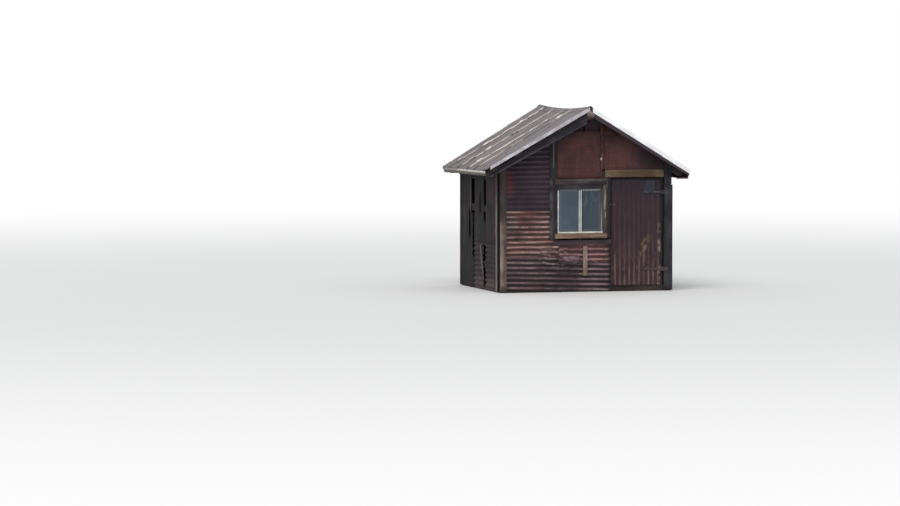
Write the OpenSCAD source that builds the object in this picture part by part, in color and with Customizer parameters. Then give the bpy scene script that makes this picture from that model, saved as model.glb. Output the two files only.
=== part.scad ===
// Small timber boathouse with corrugated metal walls and a sagging metal roof.
// Millimetres, Z up, front towards -Y, ground level at Z = 0.
// Origin: centre of the footprint of the roof, on the ground.

/* [Hut] */
// Width over the side walls
hut_w = 2440; // [2000:4:3200]
// Depth over the front and rear walls
hut_d = 2000; // [1600:1:3000]
// Height of the upper face of the wall plates
plate_top = 1628; // [1500:1:2100]
// Height of the sills above the ground
sill_h = 76; // [50:1:120]
// Thickness of the outer boards
board_t = 20; // [15:1:28]
// Height of the lower ends of the outer boards
board_low = 10; // [5:1:30]

/* [Roof] */
// Height of the sheet metal at the ends of the ridge
ridge_z = 2488; // [2050:1:3200]
// How far the middle of the ridge hangs below its ends
ridge_sag = 45; // [0:1:70]
// Overhang of the roof in front of the front wall
front_overhang = 200; // [120:5:400]
// Overhang of the roof behind the rear wall
rear_overhang = 240; // [120:5:400]
// Overhang of the roof beside each side wall
side_overhang = 184; // [120:2:300]
// Thickness of the roof metal
roof_t = 1.2; // [0.8:0.1:2]
// Height of the crimps of the roof sheets
crimp_h = 12; // [8:1:20]
// Distance of the single crimp from the rear end of the roof
crimp_rear_in = 330; // [150:5:400]
// Distances of the three laps from the rear end of the roof
lap_in = [775, 1270, 1595];
// Height of the folded edge on the left slope
trim_h_left = 47; // [30:1:80]
// Height of the folded edge on the right slope
trim_h_right = 62; // [30:1:80]
// Height of the board under the left eave
fascia_h = 67; // [50:1:120]
// Height of the board under the right eave
fascia_right_h = 118; // [50:1:140]
// How far the front corner of the left slope has bent up
corner_lift = 60; // [0:1:80]
// Length of the bent front part of that slope
corner_bend = 420; // [200:10:600]

/* [Frame] */
// Narrow side of the frame timber
timber_w = 38; // [30:1:50]
// Wide side of the frame timber
timber_d = 89; // [70:1:120]
// Thickness of the roof battens and other thin boards
batten_t = 19; // [15:1:25]
// Thickness of the floor boards
floor_t = 22; // [16:1:30]
// Vertical depth of the rafters
rafter_drop = 119; // [80:1:130]
// Depth of the notch of the rafters over the wall plates
notch_h = 9; // [5:1:45]
// Diameter of the ridge pole
pole_d = 112; // [80:2:140]

/* [Corrugated sheets] */
// Distance from rib to rib
rib_pitch = 67.8; // [50:0.02:90]
// Depth of the ribs
rib_depth = 16; // [10:1:22]
// Thickness of the wall sheets
sheet_t = 1.5; // [1:0.1:2]
// Slope of the lowest front sheet, in degrees
low_sheet_tilt = 1.6; // [0:0.1:2.5]

/* [Front boards] */
// Width of the left corner board
corner_board_w = 101; // [70:1:140]
// Width of the right corner board
post_board_w = 119; // [80:1:160]
// Height of the joint in the right corner board
post_joint = 1436; // [1000:1:1500]
// Height of the joint in the left corner board
corner_joint = 498; // [300:1:900]
// Width of the board left of the window
casing_w = 107; // [80:1:140]
// Height of the board over the door
header_h = 112; // [80:1:140]
// Height of the board over the window
head_h = 78; // [50:1:110]
// Height of the flat board under the window
apron_h = 66; // [40:1:90]
// How far the gable panels end below the ridge pole
gable_gap = 152; // [30:1:300]

/* [Window] */
// Width of the window frame
window_w = 633; // [500:1:800]
// Height of the window frame
window_h = 603; // [450:1:700]
// Height of the lower edge of the window frame
window_z = 787; // [700:1:900]
// Width of the window frame bars
window_bar = 10; // [8:1:34]
// Width of the bars of the sashes
sash_bar = 14; // [12:1:40]
// Distance from the window frame to the door
window_to_door = 128; // [100:1:300]

/* [Door] */
// Width of the door sheet, rounded to whole eighths of a rib
door_sheet_w = 695; // [600:1:900]
// Height of the lower edge of the door sheet
door_z = 82; // [80:1:140]
// Space between the top of the door and the beam behind it
door_top_gap = 15; // [8:1:60]
// Gap between the door and the boards beside it
door_gap = 7; // [6:0.5:14]
// Distance from the door sheet to the right corner board
hinge_strip = 49; // [40:1:80]
// Height of the upper strap hinge
strap_high_z = 1338; // [1000:1:1400]
// Height of the lower strap hinge
strap_low_z = 296; // [150:1:500]
// Length of the strap hinges on the door
strap_l = 252; // [140:2:320]
// Height of the latch
latch_z = 1170; // [800:5:1250]

/* [Side walls] */
// Height of the joint between the lower sheets and the panels
joint_z = 641; // [500:1:800]
// Thickness of the wall panels
panel_t = 12; // [8:1:20]
// Width of the board at the front edge
edge_board_w = 162; // [100:1:200]
// Distance of that board from the front wall
edge_board_in = 77; // [60:1:120]

/* [Hidden] */
// Clearance between pieces that rest against each other
seat = 0.3;
$fn = 24;

wall_x = hut_w / 2;
front_y = front_overhang - (hut_d + front_overhang + rear_overhang) / 2;
rear_y = front_y + hut_d;
frame_x = wall_x - board_t;
frame_front = front_y + board_t;
frame_rear = rear_y - board_t;
inner_x = frame_x - timber_d;
inner_front = frame_front + timber_d;
inner_rear = frame_rear - timber_d;
mid_post_y = (frame_front + frame_rear - timber_d) / 2;
roof_x = wall_x + side_overhang;
roof_y = (hut_d + front_overhang + rear_overhang) / 2;
plate_z = plate_top - timber_w;
tie_z = plate_top - timber_d;
floor_low = 8;

// Roof surfaces, measured downwards from the upper face of the flat metal
roof_cos = cos(atan((ridge_z - plate_top - rafter_drop) / frame_x));
metal_low = roof_t + 2 * seat;
batten_low = metal_low + batten_t / roof_cos;
rafter_top = batten_low + seat;
rafter_low = rafter_top + rafter_drop;
heel_z = plate_top - notch_h + rafter_low;
eave_z = ridge_z - (ridge_z - heel_z) * roof_x / frame_x;
wall_drop = batten_low + 21;
pole_drop = pole_d / 2 + 48;

// Edges of the roof
metal_past = 14;
fascia_t = 19;
fascia_drop = 3;
drip_t = 1.3;
drip_h = 36;
drip_drop = 4;
tail_x = roof_x - metal_past - fascia_t - seat;
tail_cut = 43;
fascia_left_y = front_y + 95;
barge_y = roof_y - 2;
fascia_right_y = timber_w + seat - barge_y;
soffit_w = 60;
barge_tail_left = 82;
barge_head_left = 185;
barge_tail_right = 90;
barge_head_right = 118;
batten_count = 5;
batten_first = pole_d / 2 + 4;
batten_last = tail_x - timber_d - 12;
batten_in = [for (i = [0:batten_count - 1])
  batten_first + i * (batten_last - batten_first) / (batten_count - 1)];

// Roof metal
crimp_w = 14;
lap_lift = roof_t + 0.4;
cap_lift = crimp_h + lap_lift + seat + roof_t;
cap_wing = 75;
cap_in = 15;
roof_gap = 12;
trim_gap = 3;
trim_top_w = 50;
trim_edge = roof_y - trim_top_w;
sag_step = 122;
crimp_rear = roof_y - crimp_rear_in;
lap_rear = roof_y - lap_in[0];
lap_mid = roof_y - lap_in[1];
lap_front = roof_y - lap_in[2];

// Corrugated sheets: limits are counted in eighths of a rib, on one grid from the ground up
rib_step = rib_pitch / 8;
lap_gap = sheet_t + 0.4;
crest = seat + rib_depth + sheet_t;
sheet_lap = 25;
rear_sheet_top = 1585;
function row_at(z) = round(z / rib_step);
low_rows = [row_at(17), row_at(508)];
mid_rows = [row_at(508 - sheet_lap), row_at(1144)];
high_rows = [row_at(1144 - 2 * sheet_lap), row_at(1754)];
top_rows = [row_at(1754 - 2 * sheet_lap), row_at(ridge_z - 318)];
rear_high_rows = [high_rows[0], row_at(rear_sheet_top)];
side_rows = [low_rows[0], row_at(joint_z - 5)];
ribs_low = low_rows[0] * rib_step;

// Door and window, laid out from the right corner board to the left
board_gap = 3;
post_board_left = wall_x - post_board_w;
door_w = round(door_sheet_w / rib_step) * rib_step;
door_right = post_board_left - hinge_strip;
door_left = door_right - door_w;
door_top = tie_z - door_top_gap;
window_x1 = door_left - window_to_door;
window_x0 = window_x1 - window_w;
window_top = window_z + window_h;
stud_gap = 5;
stud_left = window_x0 - stud_gap - timber_w;
stud_mid = window_x1 + stud_gap + 2;
stud_free = door_left - door_gap - 2 - timber_w;
stud_hinge = door_right + door_gap + board_gap;
casing_left = window_x0 - casing_w - 6;
casing_mid = stud_mid;
casing_mid_right = door_left - door_gap;
stud_edge = casing_left - timber_w + 4;
stud_corner = (casing_left - frame_x - timber_w) / 2;
stud_sill = (stud_left + stud_mid) / 2;
sheet_left = -wall_x + corner_board_w + 2;

// Boards of the front wall
header_z = door_top + 10;
header_top = header_z + header_h;
header_left = door_left - 93;
header_right = door_right + 43;
head_z = window_top + 59;
head_left = casing_left + 71;
head_right = window_x1 + 45;
sill_board_z = window_z - 64;
sill_left = head_left + 1;
sill_right = window_x1 + 54;
sill_out = 25;
casing_low = sill_board_z - 19;
apron_t = 14;
apron_left = casing_left + 51;
apron_low = casing_low - 2 - apron_h;
below_left = window_x0 + 12;
below_right = casing_mid_right;
below_low = 388;
below_rows = [row_at(below_low + 2), row_at(720)];
below_drop = 30;
blocking_z = apron_low - timber_d / 2;
stick_left = (window_x0 + window_x1) / 2 + 38;
stick_w = 60;
stick_low = 220;
stick_top = 619;

// Gable
pole_clear_z = ridge_z - ridge_sag - pole_drop - pole_d / 2 + 7;
gable_open_z = pole_clear_z - gable_gap + 24;
gable_step = 32;
panel_seam = door_left - 135;
scrap_low = gable_open_z - 44;
scrap_w = 222;
scrap_h = 18;
scrap_drop = 86;

// Hinges
pin_x = door_right + 7;
pin_y = frame_front - 29;
pin_r = 2.5;
knuckle_r = 6;
strap_h = 26;
strap_t = 3;
pin_gap = 0.3;
knuckle_gap = 0.6;
leaf_w = 96;
strap_face = frame_front - crest - seat;

// Window
frame_out = 22;
frame_in = 38;
sash_t = 18;
sash_y = frame_front - 14;
sash_meeting = 20;
groove = 8;
pane_t = 4;
sash_x0 = window_x0 + window_bar + seat;
sash_x1 = window_x1 - window_bar - seat;
sash_z0 = window_z + window_bar + seat;
sash_z1 = window_top - window_bar - seat;
sash_mid = (sash_x0 + sash_x1) / 2;

// Side walls
panel_low = 12;
panel_top = eave_z + (ridge_z - ridge_sag - eave_z) * side_overhang / roof_x - rafter_low - 6;
edge_y = front_y + edge_board_in;
panel_front_y = edge_y + edge_board_w + 5;
girt_levels = [300, joint_z - 41, 1060, plate_z - timber_d];

// Height of the flat roof metal at a point of the plan
function ridge_at(y) = ridge_z - ridge_sag * (1 - pow(y / roof_y, 2));
function slope_at(y) = (ridge_at(y) - eave_z) / roof_x;
function roof_z(x, y) = eave_z + slope_at(y) * (roof_x - abs(x));

// Height of a bent up front corner above the roof surface
function bent(x, y, lift) = lift * x / roof_x * pow(max(0, corner_bend - roof_y - y) / corner_bend, 2);

// Value nearest to the middle of the ridge, where the roof is lowest
function low_y(y0, y1) = y0 * y1 < 0 ? 0 : min(abs(y0), abs(y1));

// Points between two limits, not farther apart than the step
function steps(a, b, step) = [for (i = [0:ceil((b - a) / step)]) a + (b - a) * i / ceil((b - a) / step)];
function inner_steps(a, b, step) = [for (v = steps(a, b, step)) if (v > a + 1 && v < b - 1) v];
function reversed(list) = [for (i = [len(list) - 1:-1:0]) list[i]];

// Offset of a corrugated sheet at a row counted in eighths of a rib
function rib(row) = rib_depth / 2 * (1 + cos(45 * row));

module bar(x0, x1, y0, y1, z0, z1) {
  translate([x0, y0, z0])
    cube([x1 - x0, y1 - y0, z1 - z0]);
}

// Outline in X and Z, as thick as the given span of Y
module slice_y(y0, y1, outline) {
  translate([0, y1, 0])
    rotate([90, 0, 0])
      linear_extrude(y1 - y0)
        polygon(outline);
}

// Outline in Y and Z, as thick as the given span of X
module slice_x(x0, x1, outline) {
  translate([x0, 0, 0])
    rotate([90, 0, 90])
      linear_extrude(x1 - x0)
        polygon(outline);
}

module both_sides() {
  children();
  mirror([1, 0, 0])
    children();
}

// Thin body below a grid of points, with rows along X and columns along Y
module slab(grid, t) {
  rows = len(grid);
  cols = len(grid[0]);
  n = rows * cols;
  top = [for (row = grid) for (p = row) p];
  low = [for (p = top) [p[0], p[1], p[2] - t]];
  surface = [for (r = [0:rows - 2]) for (c = [0:cols - 2])
    [r * cols + c, r * cols + c + 1, (r + 1) * cols + c + 1, (r + 1) * cols + c]];
  back = [for (f = surface) [f[3] + n, f[2] + n, f[1] + n, f[0] + n]];
  first = [for (c = [0:cols - 2]) [c, c + n, c + 1 + n, c + 1]];
  last_row = (rows - 1) * cols;
  last = [for (c = [0:cols - 2]) [last_row + c, last_row + c + 1, last_row + c + 1 + n, last_row + c + n]];
  near = [for (r = [0:rows - 2]) [r * cols, (r + 1) * cols, (r + 1) * cols + n, r * cols + n]];
  far = [for (r = [0:rows - 2])
    [r * cols + cols - 1, r * cols + cols - 1 + n, (r + 1) * cols + cols - 1 + n, (r + 1) * cols + cols - 1]];
  quads = concat(surface, back, first, last, near, far);
  polyhedron(concat(top, low), [for (q = quads) each [[q[0], q[1], q[2]], [q[0], q[2], q[3]]]]);
}

// Upper outline of the wall cladding: it follows the slopes and ends level below the pole
function rake_x(z, y) = roof_x - (z + wall_drop - eave_z) / slope_at(y);
function rake_point(x, y, limit) = [x, min(limit, roof_z(x, y) - wall_drop)];
function rake_line(x0, x1, y, limit) = let (turn = rake_x(limit, y)) concat(
  [rake_point(x0, y, limit)],
  x0 < -turn && x1 > -turn ? [[-turn, limit]] : [],
  x0 < turn && x1 > turn ? [[turn, limit]] : [],
  [rake_point(x1, y, limit)]);

module under_rake(x0, x1, y0, y1, z0, y_wall, limit = pole_clear_z) {
  slice_y(y0, y1, concat([[x0, z0]], rake_line(x0, x1, y_wall, limit), [[x1, z0]]));
}

// Corrugated sheet with level ribs on a wall that faces along Y
module wave_y(x0, x1, base, dir, rows, lift = 0) {
  inside = [for (k = [rows[0]:rows[1]]) [base + dir * (seat + lift + rib(k)), k * rib_step]];
  outside = [for (p = inside) [p[0] + dir * sheet_t, p[1]]];
  slice_x(x0, x1, concat(inside, reversed(outside)));
}

// Corrugated sheet with level ribs on the right wall
module wave_x(y0, y1, rows, lift = 0) {
  inside = [for (k = [rows[0]:rows[1]]) [frame_x + seat + lift + rib(k), k * rib_step]];
  outside = [for (p = inside) [p[0] + sheet_t, p[1]]];
  slice_y(y0, y1, concat(inside, reversed(outside)));
}

module sills() {
  color("tan") {
    both_sides()
      bar(inner_x, frame_x, frame_front, frame_rear, 0, sill_h);
    bar(-inner_x, inner_x, frame_front, inner_front, 0, sill_h);
    bar(-inner_x, inner_x, inner_rear, frame_rear, 0, sill_h);
  }
}

module floor_joists() {
  count = 6;
  pitch = (inner_rear - inner_front - timber_w) / (count - 1);
  color("tan")
    for (i = [0:count - 1])
      bar(-inner_x, inner_x, inner_front + i * pitch, inner_front + i * pitch + timber_w, floor_low, sill_h);
}

module floor_boards() {
  count = 14;
  gap = 4;
  pitch = (2 * inner_x + gap) / count;
  color("burlywood")
    for (i = [0:count - 1])
      bar(-inner_x + i * pitch, -inner_x + (i + 1) * pitch - gap, inner_front, inner_rear,
        sill_h, sill_h + floor_t);
}

module wall_posts() {
  color("tan")
    both_sides() {
      bar(inner_x, frame_x, frame_front, inner_front, sill_h, plate_z);
      bar(inner_x, frame_x, inner_rear, frame_rear, sill_h, plate_z);
      bar(inner_x, frame_x, mid_post_y, mid_post_y + timber_d, sill_h, plate_z);
    }
}

module side_girts() {
  color("tan")
    both_sides()
      for (z = girt_levels) {
        bar(frame_x - timber_w, frame_x, inner_front, mid_post_y, z, z + timber_d);
        bar(frame_x - timber_w, frame_x, mid_post_y + timber_d, inner_rear, z, z + timber_d);
      }
}

module wall_studs() {
  rear_count = 4;
  rear_pitch = 2 * frame_x / (rear_count + 1);
  color("tan") {
    for (x = [stud_corner, stud_edge, stud_left, stud_mid, stud_free, stud_hinge])
      bar(x, x + timber_w, frame_front, inner_front, sill_h, tie_z);
    bar(stud_sill, stud_sill + timber_w, frame_front, inner_front, sill_h, window_z - seat - timber_w);
    for (i = [1:rear_count])
      bar(i * rear_pitch - frame_x - timber_w / 2, i * rear_pitch - frame_x + timber_w / 2,
        inner_rear, frame_rear, sill_h, tie_z);
  }
}

module wall_blocking() {
  low = window_z - seat;
  color("tan") {
    bar(stud_left + timber_w, stud_mid, frame_front, inner_front, low - timber_w, low);
    bar(stud_left + timber_w, stud_mid, frame_front, frame_front + timber_w, window_top + seat, tie_z);
    bar(stud_left + timber_w, stud_sill, frame_front, frame_front + timber_w, blocking_z, blocking_z + timber_d);
    bar(stud_sill + timber_w, stud_mid, frame_front, frame_front + timber_w, blocking_z, blocking_z + timber_d);
  }
}

module top_plates() {
  color("tan")
    both_sides()
      bar(inner_x, frame_x, frame_front, frame_rear, plate_z, plate_top);
}

module tie_beams() {
  color("tan") {
    bar(-inner_x, inner_x, frame_front, frame_front + timber_w, tie_z, plate_top);
    bar(-inner_x, inner_x, frame_rear - timber_w, frame_rear, tie_z, plate_top);
  }
}

// Upright under a rafter: the head follows the slope
module gable_stud(x, y0, y1) {
  low = low_y(y0, y1);
  drop = rafter_low + seat;
  slice_y(y0, y1, [[x, plate_top], [x, roof_z(x, low) - drop],
    [x + timber_w, roof_z(x + timber_w, low) - drop], [x + timber_w, plate_top]]);
}

module gable_studs() {
  color("tan")
    for (y = [frame_front, frame_rear - timber_w]) {
      for (x = [stud_corner, stud_left, stud_mid - timber_w, -stud_corner - timber_w])
        gable_stud(x, y, y + timber_w);
      bar(-timber_w / 2, timber_w / 2, y, y + timber_w, plate_top,
        ridge_at(low_y(y, y + timber_w)) - pole_drop - pole_d / 2 - seat);
    }
}

// Round pole that follows the sag of the ridge
module ridge_pole() {
  sides = 16;
  ends = steps(-barge_y, barge_y, 1.7 * sag_step);
  last = len(ends) - 1;
  points = [for (y = ends) for (i = [0:sides - 1])
    [pole_d / 2 * cos(360 * i / sides), y, ridge_at(y) - pole_drop + pole_d / 2 * sin(360 * i / sides)]];
  skin = [for (j = [0:last - 1]) for (i = [0:sides - 1]) let (k = (i + 1) % sides)
    each [[j * sides + i, j * sides + k, (j + 1) * sides + k],
      [j * sides + i, (j + 1) * sides + k, (j + 1) * sides + i]]];
  color("peru")
    polyhedron(points, concat(skin,
      [[for (i = [sides - 1:-1:0]) i], [for (i = [0:sides - 1]) last * sides + i]]));
}

// Rafter of the right slope: level cut under the tail, notch over the wall plate
module rafter(y0, y1, notched) {
  y = low_y(y0, y1);
  head = pole_d / 2 + seat;
  heel = frame_x + seat;
  tail_z = roof_z(tail_x, y) - rafter_low + tail_cut;
  level_x = tail_x - tail_cut / slope_at(y);
  notch_z = plate_top + seat;
  notch_x = roof_x - (notch_z + rafter_low - eave_z) / slope_at(y);
  notch = notched ? [[heel, roof_z(heel, y) - rafter_low], [heel, notch_z], [notch_x, notch_z]] : [];
  slice_y(y0, y1, concat([[head, roof_z(head, y) - rafter_top], [tail_x, roof_z(tail_x, y) - rafter_top],
    [tail_x, tail_z], [level_x, tail_z]], notch, [[head, roof_z(head, y) - rafter_low]]));
}

module rafters() {
  count = 5;
  pitch = (frame_rear - frame_front - timber_w) / (count - 1);
  color("tan")
    both_sides()
      for (i = [0:count - 1])
        rafter(frame_front + i * pitch, frame_front + i * pitch + timber_w, true);
}

// Rafter outside the gable, drawn for the right slope: its lower edge runs from the eave to the ridge
module barge(y0, y1, lower_edge) {
  y = low_y(y0, y1);
  head = pole_d / 2 + seat;
  end_x = roof_x - metal_past;
  slice_y(y0, y1, concat([[head, roof_z(head, y) - rafter_top], [end_x, roof_z(end_x, y) - rafter_top]],
    [for (p = lower_edge) [p[0], roof_z(p[0], y) - p[1]]]));
}

module barge_rafters() {
  head = pole_d / 2 + seat;
  end_x = roof_x - metal_past;
  color("tan") {
    mirror([1, 0, 0])
      barge(-barge_y, -barge_y + timber_w, [[end_x, barge_tail_left], [head, barge_head_left]]);
    barge(-barge_y, -barge_y + timber_w, [[end_x, barge_tail_right], [head, barge_head_right]]);
    both_sides()
      rafter(barge_y - timber_w, barge_y, false);
  }
}

module roof_battens() {
  color("tan")
    both_sides()
      for (x = batten_in)
        slab([for (px = [x, x + timber_d]) [for (y = steps(-barge_y + 1, barge_y - 1, sag_step))
          [px, y, roof_z(px, y) - metal_low]]], batten_low - metal_low);
}

// Cross points of a roof sheet: position along the ridge and height above the flat
function crimp(y, lift) = [[y - crimp_w, lift], [y, crimp_h + lift], [y + crimp_w, lift]];
function flat(a, b) = [for (v = inner_steps(a, b, sag_step)) [v, 0]];
function lap_under(y) = concat([[y - crimp_w - 6, 0]], crimp(y, 0));
function lap_over(y) = concat([[y - crimp_w - 18, 0], [y - crimp_w - 8, lap_lift]], crimp(y, lap_lift),
  [[y + crimp_w + 3, lap_lift]]);
roof_profiles = [
  concat(lap_under(lap_rear), flat(lap_rear + crimp_w, crimp_rear - crimp_w), crimp(crimp_rear, 0),
    flat(crimp_rear + crimp_w, trim_edge - 2), [[trim_edge, 0], [barge_y, 0]]),
  concat(lap_under(lap_mid), flat(lap_mid + crimp_w, lap_rear - crimp_w - 18), lap_over(lap_rear)),
  concat(lap_under(lap_front), flat(lap_front + crimp_w, lap_mid - crimp_w - 18), lap_over(lap_mid)),
  concat([[-barge_y, 0], [-trim_edge, 0]], flat(-trim_edge, lap_front - crimp_w - 18), lap_over(lap_front))
];
sheet_rows = concat([roof_gap], [for (x = batten_in) x + timber_d / 2], [roof_x]);

module roof_sheets(lift) {
  for (profile = roof_profiles)
    slab([for (x = sheet_rows) [for (p = profile)
      [x, p[0], roof_z(x, p[0]) + bent(x, p[0], lift) + p[1]]]], roof_t);
}

module roof_sheets_left() {
  color("silver")
    mirror([1, 0, 0])
      roof_sheets(corner_lift);
}

module roof_sheets_right() {
  color("silver")
    roof_sheets(0);
}

module ridge_cap() {
  color("silver")
    slab([for (x = [-cap_wing, 0, cap_wing]) [for (y = steps(-roof_y + cap_in, roof_y - cap_in, sag_step))
      [x, y, roof_z(x, y) + cap_lift]]], roof_t);
}

// Folded edge over the end of the right slope: face height, +1 for the rear, and lift of its front corner
module rake_trim(face_h, end, lift) {
  rows = concat([trim_gap], sheet_rows);
  top_w = roof_t + 2 * seat;
  outer = roof_y * end;
  inner = trim_edge * end;
  face = (roof_y - roof_t) * end;
  slab([for (x = rows) [for (y = [min(outer, inner), max(outer, inner)])
    [x, y, roof_z(x, y) + bent(x, y, lift) + top_w]]], roof_t);
  slab([for (x = rows) [for (y = [min(outer, face), max(outer, face)])
    [x, y, roof_z(x, y) + bent(x, y, lift) + top_w]]], face_h);
}

module rake_trim_left() {
  color("lightgray")
    mirror([1, 0, 0])
      rake_trim(trim_h_left, -1, corner_lift);
}

module rake_trim_right() {
  color("white")
    rake_trim(trim_h_right, -1, 0);
}

module rake_trims_rear() {
  color("lightgray")
    both_sides()
      rake_trim(trim_h_left, 1, 0);
}

module eave_fascias() {
  x0 = roof_x - metal_past - fascia_t;
  z1 = eave_z - fascia_drop;
  color("rosybrown") {
    bar(-x0 - fascia_t, -x0, fascia_left_y, barge_y, z1 - fascia_h, z1);
    bar(x0, x0 + fascia_t, fascia_right_y, barge_y, z1 - fascia_right_h, z1);
    bar(wall_x + board_t, x0 - seat, fascia_right_y, fascia_right_y + soffit_w, z1 - fascia_right_h,
      z1 - fascia_right_h + batten_t);
  }
}

module eave_drips() {
  x0 = roof_x - metal_past;
  z1 = eave_z - drip_drop;
  color("lightgray") {
    bar(-x0 - drip_t, -x0, fascia_left_y, barge_y, z1 - drip_h, z1);
    bar(x0, x0 + drip_t, -barge_y, barge_y, z1 - drip_h, z1);
  }
}

module front_corner_board() {
  x1 = -wall_x + corner_board_w;
  color("gray") {
    bar(-wall_x, x1, front_y, frame_front, board_low, corner_joint);
    under_rake(-wall_x, x1, front_y, frame_front, corner_joint + board_gap, frame_front);
  }
}

// Right corner board: a narrower board is let in above the joint
module front_post_board() {
  color("dimgray") {
    bar(post_board_left, wall_x, front_y, frame_front, board_low, post_joint);
    under_rake(post_board_left + board_gap, wall_x - 15, front_y, frame_front, post_joint + 4, frame_front);
  }
}

module front_sheet_lower() {
  top = mid_rows[0] * rib_step - 3;
  top_right = below_low - 4;
  color("rosybrown")
    intersection() {
      translate([sheet_left, 0, ribs_low])
        rotate([0, low_sheet_tilt, 0])
          translate([-sheet_left, 0, -ribs_low])
            wave_y(sheet_left - 60, below_right + 60, frame_front, -1, [low_rows[0] - 10, low_rows[1] + 12]);
      slice_y(frame_front - 60, frame_front, [[sheet_left, ribs_low], [sheet_left, top],
        [below_left - 3, top], [below_left - 3, top_right], [below_right, top_right], [below_right, ribs_low]]);
    }
}

module front_sheet_middle() {
  color("rosybrown")
    difference() {
      wave_y(sheet_left, below_left - 3, frame_front, -1, mid_rows);
      bar(casing_left - 2, wall_x, frame_front - 60, frame_front, casing_low - board_gap, plate_top);
      bar(apron_left - 3, wall_x, frame_front - 60, frame_front, apron_low - board_gap, plate_top);
    }
}

module front_sheet_upper() {
  color("dimgray")
    intersection() {
      wave_y(sheet_left, casing_left - 2, frame_front, -1, high_rows, lap_gap);
      under_rake(sheet_left, casing_left - 2, frame_front - 60, frame_front, apron_low, frame_front);
    }
}

module front_sheet_gable() {
  color("dimgray")
    intersection() {
      wave_y(sheet_left, casing_left - 2, frame_front, -1, top_rows, 2 * lap_gap);
      under_rake(sheet_left, casing_left - 2, frame_front - 60, frame_front, apron_low, frame_front);
    }
}

module front_sheet_below_window() {
  color("rosybrown")
    intersection() {
      translate([0, 0, -below_drop])
        wave_y(below_left, below_right, frame_front, -1, below_rows);
      bar(below_left, below_right, frame_front - 60, frame_front, below_low, apron_low - board_gap);
    }
}

module gable_panel_left() {
  color("brown")
    under_rake(casing_left + casing_w + 2, panel_seam, frame_front - panel_t, frame_front, header_z,
      frame_front, gable_open_z);
}

module gable_panel_right() {
  color("brown")
    under_rake(panel_seam + board_gap, post_board_left - board_gap, frame_front - panel_t, frame_front,
      header_top + board_gap, frame_front, gable_open_z - gable_step);
}

// Strip over the seam of the two panels
module gable_batten() {
  y1 = frame_front - panel_t;
  color("sienna")
    under_rake(panel_seam - 24, panel_seam + 26, y1 - 10, y1, header_top + board_gap, frame_front, scrap_low);
}

// Torn board on top of the panels, along the right slope
module gable_scrap() {
  y1 = frame_front - panel_t;
  x0 = panel_seam - 26;
  x1 = x0 + scrap_w;
  color("chocolate")
    slice_y(y1 - 12, y1, [[x0, scrap_low + 4], [x0, roof_z(x0, front_y) - scrap_drop],
      [x0 + scrap_w / 2, roof_z(x0 + scrap_w / 2, front_y) - scrap_drop + 5],
      [x1, roof_z(x1, front_y) - scrap_drop - scrap_h], [x1, roof_z(x1, front_y) - scrap_drop - 2 * scrap_h],
      [panel_seam + 28, scrap_low + 4]]);
}

// Rectangular ring in X and Z
module ring(x0, x1, y0, y1, z0, z1, w) {
  difference() {
    bar(x0, x1, y0, y1, z0, z1);
    bar(x0 + w, x1 - w, y0 - 1, y1 + 1, z0 + w, z1 - w);
  }
}

module window_frame() {
  color("lightgray")
    ring(window_x0, window_x1, frame_front - frame_out, frame_front + frame_in, window_z, window_top, window_bar);
}

// Sash with a groove that holds its pane
module sash(x0, x1, y) {
  inset = sash_bar - groove;
  difference() {
    ring(x0, x1, y, y + sash_t, sash_z0, sash_z1, sash_bar);
    bar(x0 + inset, x1 - inset, y + (sash_t - pane_t) / 2 - seat, y + (sash_t + pane_t) / 2 + seat,
      sash_z0 + inset, sash_z1 - inset);
  }
}

module pane(x0, x1, y) {
  inset = sash_bar - groove + seat;
  bar(x0 + inset, x1 - inset, y + (sash_t - pane_t) / 2, y + (sash_t + pane_t) / 2,
    sash_z0 + inset, sash_z1 - inset);
}

module window_sashes() {
  color("lightgray") {
    sash(sash_x0, sash_mid + sash_meeting, sash_y);
    sash(sash_mid - sash_meeting, sash_x1, sash_y + sash_t + seat);
  }
}

module window_glass() {
  color("lightblue") {
    pane(sash_x0, sash_mid + sash_meeting, sash_y);
    pane(sash_mid - sash_meeting, sash_x1, sash_y + sash_t + seat);
  }
}

module window_casings() {
  color("dimgray") {
    under_rake(casing_left, casing_left + casing_w, front_y, frame_front, casing_low, frame_front);
    bar(casing_mid, casing_mid_right, front_y, frame_front, sill_board_z, header_z - 1);
  }
}

module window_head_board() {
  color("gray")
    bar(head_left, head_right, front_y - board_t, front_y, head_z, head_z + head_h);
}

module window_sill() {
  z1 = window_z - 0.5;
  color("burlywood") {
    bar(sill_left, sill_right, front_y - sill_out, front_y, sill_board_z, z1);
    bar(casing_left + casing_w + 1, casing_mid - 1, front_y, frame_front, sill_board_z, z1);
  }
}

module window_apron() {
  color("dimgray")
    bar(apron_left, below_right, frame_front - apron_t, frame_front, apron_low, apron_low + apron_h);
}

module door_header() {
  color("khaki")
    bar(header_left, header_right, front_y, frame_front, header_z, header_top);
}

module door_stops() {
  y0 = frame_front + timber_w - 6;
  color("tan") {
    bar(stud_free + timber_w, stud_free + timber_w + 22, y0, y0 + batten_t, sill_h, tie_z);
    bar(stud_hinge - 20, stud_hinge, y0, y0 + batten_t, sill_h, tie_z);
  }
}

module wall_batten() {
  y1 = frame_front - crest - seat;
  color("tan")
    bar(stick_left, stick_left + stick_w, y1 - batten_t, y1, stick_low, stick_top);
}

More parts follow.
